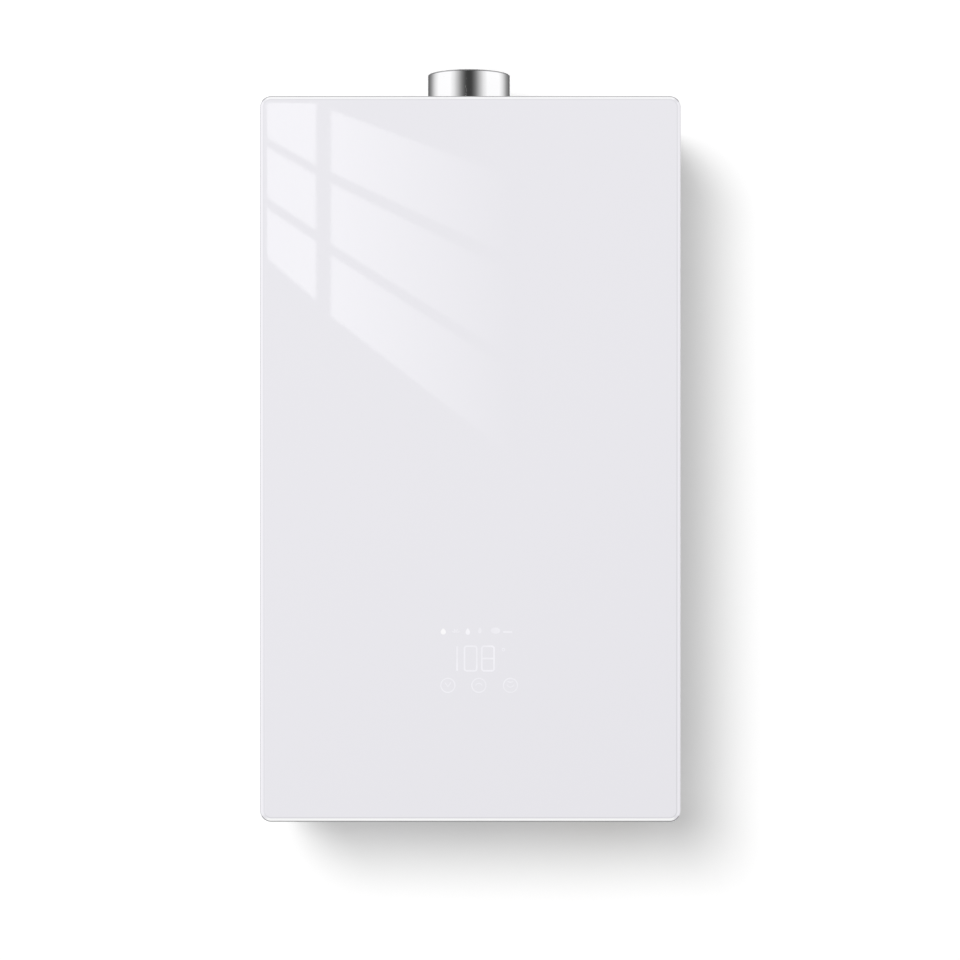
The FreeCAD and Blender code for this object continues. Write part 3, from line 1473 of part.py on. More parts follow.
MAKERS = {
    "back_pan": make_back_pan,
    "bottom_plate": make_bottom_plate,
    "front_cover": make_front_cover,
    "glass_panel": make_glass_panel,
    "panel_tape": make_panel_tape,
    "display_case": make_display_case,
    "display_board": make_display_board,
    "display_module": make_display_module,
    "touch_springs": make_touch_springs,
    "flue_collar": make_flue_collar,
    "damper_pin": make_damper_pin,
    "damper_flap": make_damper_flap,
    "flue_adapter": make_flue_adapter,
    "fan_housing": make_fan_housing,
    "fan_motor_plate": make_motor_plate,
    "fan_motor": make_fan_motor,
    "fan_shaft": make_fan_shaft,
    "fan_impeller": make_fan_impeller,
    "exhaust_hood": make_exhaust_hood,
    "pressure_switch": make_pressure_switch,
    "pressure_hose": make_pressure_hose,
    "exchanger_shell": make_exchanger_shell,
    "exchanger_fins": make_exchanger_fins,
    "exchanger_tube": make_exchanger_tube,
    "chamber_shell": make_chamber_shell,
    "chamber_coil": make_chamber_coil,
    "sight_window": make_sight_window,
    "support_rails": make_support_rails,
    "burner_box": make_burner_box,
    "burner_blades": make_burner_blades,
    "electrodes": make_electrodes,
    "gas_manifold": make_gas_manifold,
    "gas_nozzles": make_gas_nozzles,
    "gas_riser": make_gas_riser,
    "gas_valve_body": make_gas_valve_body,
    "gas_solenoids": make_gas_solenoids,
    "cold_inlet": make_cold_inlet,
    "drain_plug": make_drain_plug,
    "inlet_filter": make_inlet_filter,
    "flow_sensor": make_flow_sensor,
    "flow_pickup": make_flow_pickup,
    "union_nut": make_union_nut,
    "cold_pipe": make_cold_pipe,
    "hot_pipe": make_hot_pipe,
    "hot_outlet": make_hot_outlet,
    "temperature_sensors": make_temperature_sensors,
    "spark_unit": make_spark_unit,
    "control_box": make_control_box,
    "control_board": make_control_board,
    "control_lid": make_control_lid,
    "fan_loom": make_fan_loom,
    "display_loom": make_display_loom,
    "valve_loom": make_valve_loom,
    "cord_gland": make_cord_gland,
}


def main():
    """Write one STEP file for each piece or group of like pieces."""
    os.makedirs("parts", exist_ok=True)
    for name, maker in MAKERS.items():
        shape = maker()
        if isinstance(shape, list):
            shape = Part.makeCompound(shape)
        shape.exportStep(os.path.join("parts", name + ".step"))


if __name__ == "__main__":
    main()
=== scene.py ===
"""Looks of a wall-hung tankless water heater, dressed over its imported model.

Shapes are worked out in millimetres and become metres when a mesh is made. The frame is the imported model's:
the wall is y = 0, the glass faces -Y, +X runs to the right seen from the front and +Z is up.
"""

import math

import bpy
import numpy as np
from bpy.props import FloatProperty, FloatVectorProperty, IntProperty, PointerProperty
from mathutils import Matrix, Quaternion, Vector


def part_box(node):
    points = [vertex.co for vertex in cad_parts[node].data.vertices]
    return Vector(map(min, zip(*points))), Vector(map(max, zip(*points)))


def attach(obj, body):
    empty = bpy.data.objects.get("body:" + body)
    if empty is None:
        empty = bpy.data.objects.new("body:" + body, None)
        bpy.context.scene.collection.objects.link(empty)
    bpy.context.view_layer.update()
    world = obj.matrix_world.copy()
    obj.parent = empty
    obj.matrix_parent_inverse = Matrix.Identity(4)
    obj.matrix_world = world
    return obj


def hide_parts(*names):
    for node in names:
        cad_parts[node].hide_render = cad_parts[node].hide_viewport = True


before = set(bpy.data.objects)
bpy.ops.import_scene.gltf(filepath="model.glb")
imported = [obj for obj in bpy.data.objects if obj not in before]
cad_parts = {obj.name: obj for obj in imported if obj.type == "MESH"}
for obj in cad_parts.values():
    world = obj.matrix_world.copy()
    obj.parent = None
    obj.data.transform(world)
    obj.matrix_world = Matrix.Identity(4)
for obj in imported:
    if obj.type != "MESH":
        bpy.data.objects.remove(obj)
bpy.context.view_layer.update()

bl_info = {
    "name": "Tankless water heater",
    "version": (1, 0, 0),
    "blender": (4, 5, 0),
    "location": "3D View > Sidebar > Heater",
    "description": "Dresses the packed frame of a wall-hung water heater with its finished surfaces",
    "category": "Object",
}

RIGHT, BACK, UP = np.eye(3)
LEFT, FRONT, DOWN = -RIGHT, -BACK, -UP


def span(node):
    """Lowest and highest corner of a node of the frame, in millimetres."""
    low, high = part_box(node)
    return np.array(low) * 1000, np.array(high) * 1000


def middle(node):
    """Middle of a node's box, in millimetres."""
    low, high = span(node)
    return (low + high) / 2


PANEL_LOW, PANEL_HIGH = span("glass_panel")
COLLAR_LOW, COLLAR_HIGH = span("flue_collar")
COLLAR_X, COLLAR_Y = middle("damper_flap")[:2]
COLLAR_RADIUS, COLLAR_BORE = 38.0, 37.2
FAN = middle("fan_motor")
CASE_SHEET = 1.2
PLATE_TOP = span("bottom_plate")[1][2]
PLATE_LOW = PLATE_TOP - CASE_SHEET
GLASS_WIDTH = PANEL_HIGH[0] - PANEL_LOW[0] + 1.3
GLASS_HEIGHT = PANEL_HIGH[2] - PANEL_LOW[2] + 0.8
BOTH = (-1, 1)
WATER_Z = middle("temperature_sensors")[2]
CHAMBER_LOW, CHAMBER_HIGH = span("chamber_shell")
VALVE_TOP = span("gas_valve_body")[1][2]
COIL_Z, TRIM_Z = VALVE_TOP - 26, VALVE_TOP - 52


def length_setting(name, description, default):
    """Size that a user may change, in metres."""
    return FloatProperty(name=name, description=description, unit="LENGTH", default=float(default))


def plain_setting(name, description, default, **kind):
    """Value that a user may change, with its unit or subtype."""
    return FloatProperty(name=name, description=description, default=default, **kind)


def count_setting(name, description, default):
    """Number of like things that a user may change."""
    return IntProperty(name=name, description=description, subtype="UNSIGNED", default=default, min=6)


def colour_setting(name, description, default):
    """Colour that a user may change."""
    return FloatVectorProperty(name=name, description=description, subtype="COLOR", size=3, default=default)


class HeaterPanelSizes(bpy.types.PropertyGroup):
    """Sizes of the glass front and its display."""

    width: length_setting("Panel width", "Width of the glass front", GLASS_WIDTH / 1000)
    height: length_setting("Panel height", "Height of the glass front", GLASS_HEIGHT / 1000)
    corner: length_setting("Corner radius", "Radius of the glass corners", 0.010)
    bevel: length_setting("Bevel width", "Width of the polished bevel", 0.0024)
    figure_width: length_setting("Figure width", "Width of one display figure", 0.0110)
    figure_height: length_setting("Figure height", "Height of one display figure", 0.0220)
    stroke: length_setting("Stroke width", "Width of the lit lines", 0.0015)
    key_radius: length_setting("Key radius", "Radius of the touch key rings", 0.0063)


class HeaterMetalSizes(bpy.types.PropertyGroup):
    """Sizes of collars, pipes, threads and screws."""

    rim: length_setting("Rim radius", "Radius of the collar's rolled rim", 0.0012)
    pipe: length_setting("Pipe radius", "Outer radius of the water pipes", 0.00635)
    bend: length_setting("Bend radius", "Radius of the water pipes' bends", 0.014)
    pitch: length_setting("Thread pitch", "Distance between thread crests", 0.00181)
    thread: length_setting("Thread depth", "Depth of the pipe threads", 0.0011)
    screw: length_setting("Screw head radius", "Radius of the case's screw heads", 0.0036)
    vanes: count_setting("Fan vanes", "Number of vanes round the fan wheel", 34)
    grips: count_setting("Knob grips", "Number of grips round the drain knob", 18)


class HeaterColours(bpy.types.PropertyGroup):
    """Colours of the main finishes."""

    panel: colour_setting("Panel", "Back-painted glass", (0.842, 0.834, 0.874))
    # Colour of the painted highlight on the glass's bevel
    rim: colour_setting("Bevel", "Polished bevel of the glass", (0.95, 0.95, 0.96))
    case: colour_setting("Case", "Powder-coated case", (0.82, 0.82, 0.825))
    steel: colour_setting("Steel", "Polished steel", (0.95, 0.95, 0.96))
    copper: colour_setting("Copper", "Clean copper", (0.80, 0.42, 0.27))
    brass: colour_setting("Brass", "Machined brass", (0.80, 0.61, 0.31))
    # Colour of the display's painted glow through the paint
    glow: colour_setting("Display", "Display lines seen through the paint", (0.94, 0.932, 0.975))


class HeaterStage(bpy.types.PropertyGroup):
    """Camera, lamps and backdrop."""

    distance: length_setting("Camera distance", "From the camera to the glass", 2.2)
    lens: plain_setting("Lens", "Focal length on a 36 mm sensor", 92.0, unit="CAMERA")
    key: plain_setting("Key lamp", "Power of the upper left lamp", 630.0, unit="POWER")
    ambient: plain_setting("Ambient", "Strength of the room's even light", 0.45, subtype="FACTOR")
    wall: plain_setting("Wall", "Brightness that the wall adds of its own", 0.13, subtype="FACTOR")


def unit(vector):
    """Directions of unit length."""
    return vector / np.linalg.norm(vector, axis=-1, keepdims=True)


def spokes(turn):
    """Cosine and sine of each angle: steps of unit length in a plane."""
    return np.stack([np.cos(turn), np.sin(turn)], -1)


def layered(rows, axis):
    """Grid of flat outlines, each at its level along an axis of the frame."""
    return np.stack([np.insert(outline, axis, level, 1) for outline, level in rows])


def quads_between(number):
    """Quads between the neighbours of a grid of vertex numbers."""
    return np.stack([number[:-1, :-1], number[:-1, 1:], number[1:, 1:], number[1:, :-1]], -1).reshape(-1, 4)


def axes(direction):
    """Two directions across a given one, so that the three are a right-handed set."""
    along = unit(np.asarray(direction, float))
    across = unit(np.cross(UP if abs(along[2]) < 0.9 else RIGHT, along))
    return across, np.cross(along, across), along


def skin(points, loop=False):
    """Closed surface over a grid of points: columns run round it and rows along it.

    Neighbours are joined by quads. The rows end in one flat polygon each, or join up in a loop.
    """
    rows, columns = points.shape[:2]
    number = np.arange(rows * columns).reshape(rows, columns)
    ends = [] if loop else [number[0, ::-1].tolist(), number[-1].tolist()]
    number = np.concatenate([number, number[:, :1]], axis=1)
    if loop:
        number = np.concatenate([number, number[:1]])
    quads = quads_between(number)
    vertices = points.reshape(-1, 3)
    corner = vertices[quads]
    volume = np.einsum("ij,ij->", corner[:, 0], np.cross(corner[:, 1], corner[:, 2]))
    volume += np.einsum("ij,ij->", corner[:, 0], np.cross(corner[:, 2], corner[:, 3]))
    for end in ends:
        fan = vertices[end]
        volume += np.einsum("j,ij->", fan[0], np.cross(fan[1:-1], fan[2:]))
    faces = quads.tolist() + ends
    if volume < 0:
        faces = [face[::-1] for face in faces]
    return vertices, faces


def softened(points, radius, steps=4):
    """Line through points whose inner corners become arcs.

    Each corner is cut back by the radius times the tangent of half its turn, and the arc between is the
    radius swept by that turn.
    """
    points = np.asarray(points, float)
    run = points[1:] - points[:-1]
    length = np.linalg.norm(run, axis=1)
    ahead, after = unit(run)[:-1], unit(run)[1:]
    along = (ahead * after).sum(1, keepdims=True)
    turn = np.arccos(np.clip(along[:, 0], -1, 1))
    most = 0.48 * np.minimum(length[:-1], length[1:])
    reach = np.minimum(np.broadcast_to(radius, turn.shape) * np.tan(turn / 2), most)
    size = (reach / np.tan(turn / 2))[:, None, None]
    side = unit(after - along * ahead)[:, None]
    sweep = (turn[:, None] * np.linspace(0, 1, steps + 1))[..., None]
    start = (points[1:-1] - ahead * reach[:, None])[:, None]
    arcs = start + size * (np.sin(sweep) * ahead[:, None] + (1 - np.cos(sweep)) * side)
    return np.concatenate([points[:1], arcs.reshape(-1, points.shape[1]), points[-1:]])


def barrel(base, direction, radius, level, loop=False):
    """Surface round an axis: one row for each level, its radius given for every angle."""
    across, other, along = axes(direction)
    radius = np.asarray(radius, float)
    turn = np.linspace(0, 2 * np.pi, radius.shape[1], endpoint=False)[:, None]
    spoke = np.cos(turn) * across + np.sin(turn) * other
    level = np.asarray(level, float)[:, None, None]
    return skin(np.asarray(base, float) + radius[..., None] * spoke + level * along, loop)


def turned(profile, base, direction, sides=48, loop=False, soft=0.0):
    """Profile turned round an axis: each (radius, height) pair is a circle of that radius at that height.

    A solid's ends are flat. They reach the axis while the corners are softened, and are then closed by one
    polygon at 0.93 of their radius. A loop is the section of a ring.
    """
    profile = np.asarray(profile, float)
    if not loop:
        inner = profile[[0, -1]] * [0.0, 1.0]
        profile = np.concatenate([inner[:1], profile, inner[1:]])
    if soft:
        profile = softened(profile, soft)
    if not loop:
        profile[[0, -1]] = profile[[1, -2]] * [0.93, 1.0]
    return barrel(base, direction, np.repeat(profile[:, :1], sides, 1), profile[:, 1], loop)


def rounded_rectangle(width, height, corner, steps=5):
    """Outline of a rectangle with corner arcs, counter-clockwise; each size may be an array of rows."""
    turn = np.linspace(0, np.pi / 2, steps + 1) + np.arange(4)[:, None] * np.pi / 2
    arc = spokes(turn)
    sign = np.array([[1, 1], [-1, 1], [-1, -1], [1, -1]])[:, None]
    corner = np.asarray(corner, float)[..., None, None, None]
    half = np.stack(np.broadcast_arrays(width, height), -1)[..., None, None, :] / 2
    points = sign * (half - corner) + corner * arc
    return points.reshape(points.shape[:-3] + (-1, 2))


def eased(depth, edge, steps=3):
    """Side profile of a slab as (inset, depth) rows, its two edges quarter arcs."""
    turn = np.linspace(0, np.pi / 2, steps + 1)
    low = np.stack([edge * (1 - np.sin(turn)), edge * (1 - np.cos(turn))], -1)
    high = np.stack([edge * (1 - np.cos(turn)), depth - edge * (1 - np.sin(turn))], -1)
    return np.concatenate([[[edge + 0.3, 0]], low, high, [[edge + 0.3, depth]]])


def slab(width, height, corner, profile, centre, facing=FRONT, up=UP, steps=5, loop=False):
    """Rounded rectangle that changes through its thickness: each (inset, depth) row is the outline drawn in
    by the inset, at that depth along the facing direction. A loop's rows are the section of a frame."""
    profile = np.asarray(profile, float)
    inset = profile[:, 0]
    corner = np.maximum(corner - inset, 0.2 if loop else 0.05)
    outline = rounded_rectangle(width - 2 * inset, height - 2 * inset, corner, steps)
    across = np.cross(up, facing)
    points = outline[..., :1] * across + outline[..., 1:] * up + profile[:, 1, None, None] * facing
    return skin(points + np.asarray(centre, float), loop)


def soft_box(low, high, edge, corner=None, facing=FRONT, steps=2):
    """Box between two corners with rounded edges, its face looking along facing."""
    low, high = np.minimum(low, high).astype(float), np.maximum(low, high).astype(float)
    size = high - low
    up = RIGHT if abs(facing[2]) > 0.5 else UP
    across = np.cross(up, facing)
    depth = abs(size @ facing)
    start = (low + high) / 2 - facing * depth / 2
    edge = min(edge, depth * 0.45)
    corner = max(edge, 0.1) if corner is None else corner
    wide, tall, profile = abs(size @ across), abs(size @ up), eased(depth, edge, steps=steps)
    return slab(wide, tall, corner, profile, start, facing, up, steps=max(2, steps))


def headings(points):
    """Direction at each point of a line: the sum of the runs before and after it, at unit length."""
    run = unit(points[1:] - points[:-1])
    return unit(np.concatenate([run[:1], run[:-1] + run[1:], run[-1:]]))


def carried(path, outline, guide=(0.36, 0.21, 0.91)):
    """Outline carried along a path: its first coordinate lies across both the guide and the path, its second
    across the first and the path."""
    path = np.asarray(path, float)
    ahead = headings(path)
    across = unit(np.cross(np.asarray(guide, float), ahead))[:, None]
    other = np.cross(ahead[:, None], across)
    outline = np.asarray(outline, float)
    return skin(path[:, None] + outline[..., :1] * across + outline[..., 1:] * other)


def circle(radius, sides):
    """Outline of a circle."""
    return radius * spokes(np.linspace(0, 2 * np.pi, sides, endpoint=False))


def tube(points, radius, bend=0.0, sides=20, steps=8):
    """Round bar or pipe along a line whose corners are bent to an arc."""
    path = softened(points, bend, steps) if bend else np.asarray(points, float)
    return carried(path, circle(radius, sides))


def nut(base, direction, flat, height, bore=0.0):
    """Six-sided nut: the radius is the hexagon's at that angle, held inside a cone at both ends."""
    turn = np.linspace(0, 2 * np.pi, 48, endpoint=False)
    hexagon = flat / 2 / np.cos(turn % (np.pi / 3) - np.pi / 6)
    rise = 0.12 * min(flat, height * 3)
    level = np.concatenate([np.linspace(0, rise, 4), height - np.linspace(rise, 0, 4)])
    near = np.minimum(level, height - level) / rise
    limit = flat / 2 * (0.97 + (2 / math.sqrt(3) - 0.97) * near)
    radius = np.minimum(hexagon[None], limit[:, None])
    if bore:
        radius = np.concatenate([radius, np.full((2, 48), float(bore))])
        level = np.append(level, [height, 0])
    return barrel(base, direction, radius, level, loop=bool(bore))


def thread(base, direction, radius, length, bore, metal):
    """Threaded pipe end: the radius is the crest's less a triangle wave of height minus turn, which fades at
    the ends."""
    pitch, depth = metal.pitch * 1000, metal.thread * 1000
    turn = np.linspace(0, 2 * np.pi, 48, endpoint=False)
    level = np.linspace(0, length, int(length / pitch * 6) + 1)
    wave = (level[:, None] / pitch - turn / (2 * np.pi)) % 1
    fade = np.clip(np.minimum(level, length - level) / pitch, 0, 1)[:, None]
    radius = radius - depth * (1 - fade * (1 - np.abs(2 * wave - 1)))
    radius = np.concatenate([radius, np.full((2, 48), float(bore))])
    return barrel(base, direction, radius, np.append(level, [length, 0]), loop=True)


def ribbed(base, direction, radius, length, count, depth, edge, bore=0.0):
    """Knob with grips: the radius dips by the square of a cosine wave, and both ends are rounded."""
    turn = np.linspace(0, 2 * np.pi, count * 8, endpoint=False)
    ease = np.linspace(0, np.pi / 2, 5)
    level = np.concatenate([edge * (1 - np.cos(ease)), length - edge * (1 - np.cos(ease[::-1]))])
    inset = np.concatenate([edge * (1 - np.sin(ease)), edge * (1 - np.sin(ease[::-1]))])
    grip = depth * (0.5 - 0.5 * np.cos(turn * count)) ** 2 * (1 - inset / edge)[:, None]
    radius = radius - inset[:, None] - grip
    inner = np.full_like(turn, bore) if bore else None
    rows = [inner, *radius, inner] if bore else [radius[0] * 0.9, *radius, radius[-1] * 0.9]
    return barrel(base, direction, rows, [0, *level, length], loop=bool(bore))


def shell(width, depth, corner, profile, centre):
    """Upright sheet-metal sleeve: its section's (inset, height) rows go round a rounded rectangle in plan."""
    profile = np.asarray(profile, float)
    inset = profile[:, 0]
    outline = rounded_rectangle(width - 2 * inset, depth - 2 * inset, np.maximum(corner - inset, 0.3), 6)
    height = np.broadcast_to(profile[:, 1, None, None], outline.shape[:2] + (1,))
    return skin(np.concatenate([outline, height], -1) + np.asarray(centre, float), loop=True)


def helix(base, direction, radius, pitch, turns, wire):
    """Coil spring: a wire along a circle whose height grows with the angle."""
    across, other, along = axes(direction)
    turn = np.linspace(0, 2 * np.pi * turns, int(turns * 20) + 1)[:, None]
    path = radius * (np.cos(turn) * across + np.sin(turn) * other) + turn / (2 * np.pi) * pitch * along
    return carried(path + np.asarray(base, float), circle(wire, 8), along)


def screw(base, direction, radius):
    """Pan-head screw: a dome whose height drops inside two crossed arms."""
    height = radius * 0.6
    turn = np.linspace(0, 2 * np.pi, 32, endpoint=False)
    share = np.concatenate([[0.98, 1.0, 1.0], np.cos(np.linspace(0.25, 1.45, 9))])
    level = np.concatenate([[0, 0.02, 0.45], 0.45 + 0.55 * np.sqrt(1 - np.clip(share[3:], 0, 1) ** 2)])
    x, y = np.abs(share[:, None] * np.cos(turn)), np.abs(share[:, None] * np.sin(turn))
    arm = np.clip((0.17 - np.minimum(x, y)) / 0.05, 0, 1) * np.clip((0.62 - np.maximum(x, y)) / 0.08, 0, 1)
    rise = (level[:, None] - 0.5 * arm * (np.arange(len(share)) > 2)[:, None]) * height
    across, other, along = axes(direction)
    spoke = np.cos(turn)[:, None] * across + np.sin(turn)[:, None] * other
    return skin(np.asarray(base, float) + (radius * share)[:, None, None] * spoke + rise[..., None] * along)


def corner_screws(centre, across, depth, rise, radius):
    """Screws at the four corners of an upright face."""
    return [screw(np.add(centre, (a * across, -depth, b * rise)), FRONT, radius) for a in BOTH for b in BOTH]


def places_round(axis, radius, depth, angles):
    """Points on an upright circle round an axis along Y, at angles in degrees."""
    return [axis + np.array([radius * math.cos(turn), depth, radius * math.sin(turn)])
            for turn in np.radians(angles)]


def blade(base, direction, up, width, length):
    """Spade terminal: a thin tongue with a narrower tip."""
    return slab(width, 0.8, 0.2, [(0, 0), (0, length - 2), (0.25, length)], base, direction, up, steps=2)


def ribbon(points, width, y, thickness, closed=False):
    """Flat line of even width on the glass, set out both ways along the mean of its neighbours' normals."""
    points = np.asarray(points, float)
    if closed:
        points = np.concatenate([points[-1:], points, points[:1]])
    ahead = headings(points)
    side = np.stack([-ahead[:, 1], ahead[:, 0]], -1) * width / 2
    if closed:
        points, side = points[1:-1], side[1:-1]
    section = np.stack([points - side, points + side, points + side, points - side], 1)
    depth = np.broadcast_to(np.array([y, y, y + thickness, y + thickness])[:, None], section[..., :1].shape)
    return skin(np.concatenate([section[..., :1], depth, section[..., 1:]], -1), loop=closed)


def joined(parts):
    """One list of vertices and faces from several surfaces."""
    vertices, faces, count = [], [], 0
    for points, polygons in parts:
        vertices.append(points)
        faces += [[index + count for index in polygon] for polygon in polygons]
        count += len(points)
    return np.concatenate(vertices), faces


def piece(name, body, parts, replaces=(), angle=32.0):
    """One object from surfaces grouped by finish; its place is in its mesh."""
    finishes = list(parts)
    vertices, faces = joined([part for finish in finishes for part in parts[finish]])
    index = np.concatenate([np.full(sum(len(part[1]) for part in parts[finish]), number)
                            for number, finish in enumerate(finishes)])
    mesh = bpy.data.meshes.new(name)
    mesh.from_pydata((vertices / 1000).tolist(), [], faces)
    for finish in finishes:
        mesh.materials.append(material(finish))
    mesh.polygons.foreach_set("material_index", index.astype(np.int32))
    mesh.polygons.foreach_set("use_smooth", np.ones(len(faces), bool))
    mesh.set_sharp_from_angle(angle=math.radians(angle))
    mesh.update()
    made = bpy.data.objects.new(name, mesh)
    bpy.context.scene.collection.objects.link(made)
    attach(made, body)
    if replaces:
        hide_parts(*replaces)
    return made


def dress(nodes, finish):
    """Gives nodes of the frame a finish."""
    for name in nodes:
        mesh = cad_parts[name].data
        if mesh.materials:
            for number in range(len(mesh.materials)):
                mesh.materials[number] = material(finish)
        else:
            mesh.materials.append(material(finish))


def add(tree, kind, inputs=(), **settings):
    """One shader node: settings are its properties, inputs its values or the sockets that feed it."""
    made = tree.nodes.new("ShaderNode" + kind)
    for key, value in settings.items():
        setattr(made, key, value)
    for key, value in dict(inputs).items():
        if isinstance(value, bpy.types.NodeSocket):
            tree.links.new(value, made.inputs[key])
        else:
            made.inputs[key].default_value = value
    return made


def math_node(tree, operation, *values):
    """Math node's result."""
    return add(tree, "Math", dict(enumerate(values)), operation=operation).outputs[0]


def ranged(tree, value, low, high, to_low, to_high):
    """Value moved from one range to another, held at its ends."""
    return add(tree, "MapRange", {"Value": value, "From Min": low, "From Max": high, "To Min": to_low,
                                  "To Max": to_high}).outputs[0]


def blended(tree, factor, first, second):
    """Colour between two, by a factor that changes over the surface."""
    return add(tree, "Mix", {0: factor, 6: first, 7: second}, data_type="RGBA").outputs[2]


def node_group(name, inputs, outputs, build):
    """Shader node group, built once."""
    tree = bpy.data.node_groups.get(name)
    if tree is None:
        tree = bpy.data.node_groups.new(name, "ShaderNodeTree")
        for key, kind, default in inputs:
            socket = tree.interface.new_socket(key, in_out="INPUT", socket_type="NodeSocket" + kind)
            socket.default_value = default
        for key, kind in outputs:
            tree.interface.new_socket(key, in_out="OUTPUT", socket_type="NodeSocket" + kind)
        build(tree, tree.nodes.new("NodeGroupInput").outputs, tree.nodes.new("NodeGroupOutput").inputs)
    return tree


def grain_group():
    """Fine stretched noise, and a slow drift of tone across the surface."""
    def build(tree, start, end):
        stretched = add(tree, "VectorMath", {0: start["Vector"], 1: start["Stretch"]}, operation="MULTIPLY")
        fine = add(tree, "TexNoise",
                   {"Vector": stretched.outputs[0], "Scale": start["Scale"], "Detail": 3.0, "Roughness": 0.6})
        slow = add(tree, "TexNoise", {"Vector": start["Vector"], "Scale": start["Drift"], "Detail": 2.0})
        tree.links.new(ranged(tree, fine.outputs[0], 0.3, 0.7, 0.0, 1.0), end["Fine"])
        tree.links.new(ranged(tree, slow.outputs[0], 0.35, 0.65, 0.0, 1.0), end["Tone"])
    return node_group("Heater grain", [("Vector", "Vector", (0, 0, 0)), ("Scale", "Float", 400.0),
                                       ("Stretch", "Vector", (1, 1, 1)), ("Drift", "Float", 8.0)],
                      [("Fine", "Float"), ("Tone", "Float")], build)


def spangle_group():
    """Zinc crystals: a random tone for each Voronoi cell, softened by noise inside the cells."""
    def build(tree, start, end):
        cells = add(tree, "TexVoronoi", {"Vector": start["Vector"], "Scale": start["Scale"]})
        tone = add(tree, "SeparateColor", {0: cells.outputs["Color"]}).outputs[0]
        fine = add(tree, "TexNoise", {"Vector": start["Vector"], "Scale": 900.0, "Detail": 2.0}).outputs[0]
        tree.links.new(math_node(tree, "MULTIPLY_ADD", fine, 0.35, math_node(tree, "MULTIPLY", tone, 0.75)),
                       end["Tone"])
        tree.links.new(fine, end["Fine"])
    return node_group("Heater zinc", [("Vector", "Vector", (0, 0, 0)), ("Scale", "Float", 90.0)],
                      [("Fine", "Float"), ("Tone", "Float")], build)


def rim_group():
    """Distance in from the glass outline, a rounded box's signed distance turned round, in metres; and how
    far the upright edges are nearer than the level ones."""
    def build(tree, start, end):
        part = add(tree, "SeparateXYZ", {0: start["Vector"]}).outputs
        reach = []
        for axis, size in (("X", "Half width"), ("Z", "Half height")):
            half = math_node(tree, "SUBTRACT", start[size], start["Corner"])
            reach.append(math_node(tree, "SUBTRACT", math_node(tree, "ABSOLUTE", part[axis]), half))
        outside = [math_node(tree, "MAXIMUM", value, 0.0) for value in reach]
        square = [math_node(tree, "MULTIPLY", value, value) for value in outside]
        length = math_node(tree, "SQRT", math_node(tree, "ADD", *square))
        inside = math_node(tree, "MINIMUM", math_node(tree, "MAXIMUM", *reach), 0.0)
        signed = math_node(tree, "SUBTRACT", math_node(tree, "ADD", length, inside), start["Corner"])
        tree.links.new(math_node(tree, "MULTIPLY", signed, -1.0), end["Inward"])
        lead = math_node(tree, "SUBTRACT", *reach)
        tree.links.new(ranged(tree, lead, -0.004, 0.004, 0.0, 1.0), end["Upright"])
    return node_group("Heater rim", [("Vector", "Vector", (0, 0, 0)), ("Half width", "Float", 0.188),
                                     ("Half height", "Float", 0.325), ("Corner", "Float", 0.010)],
                      [("Inward", "Float"), ("Upright", "Float")], build)


def weave_group():
    """Braided sleeving: two slanting sets of waves crossed."""
    def build(tree, start, end):
        waves = []
        for lean in (0.7, -0.7):
            turned_axes = add(tree, "VectorRotate", {"Vector": start["Vector"], "Angle": lean},
                              rotation_type="Y_AXIS").outputs[0]
            waves.append(add(tree, "TexWave", {"Vector": turned_axes, "Scale": start["Scale"],
                                               "Distortion": 0.4}).outputs["Fac"])
        tree.links.new(math_node(tree, "MAXIMUM", *waves), end["Fine"])
        tree.links.new(math_node(tree, "MULTIPLY", *waves), end["Tone"])
    return node_group("Heater weave", [("Vector", "Vector", (0, 0, 0)), ("Scale", "Float", 260.0)],
                      [("Fine", "Float"), ("Tone", "Float")], build)


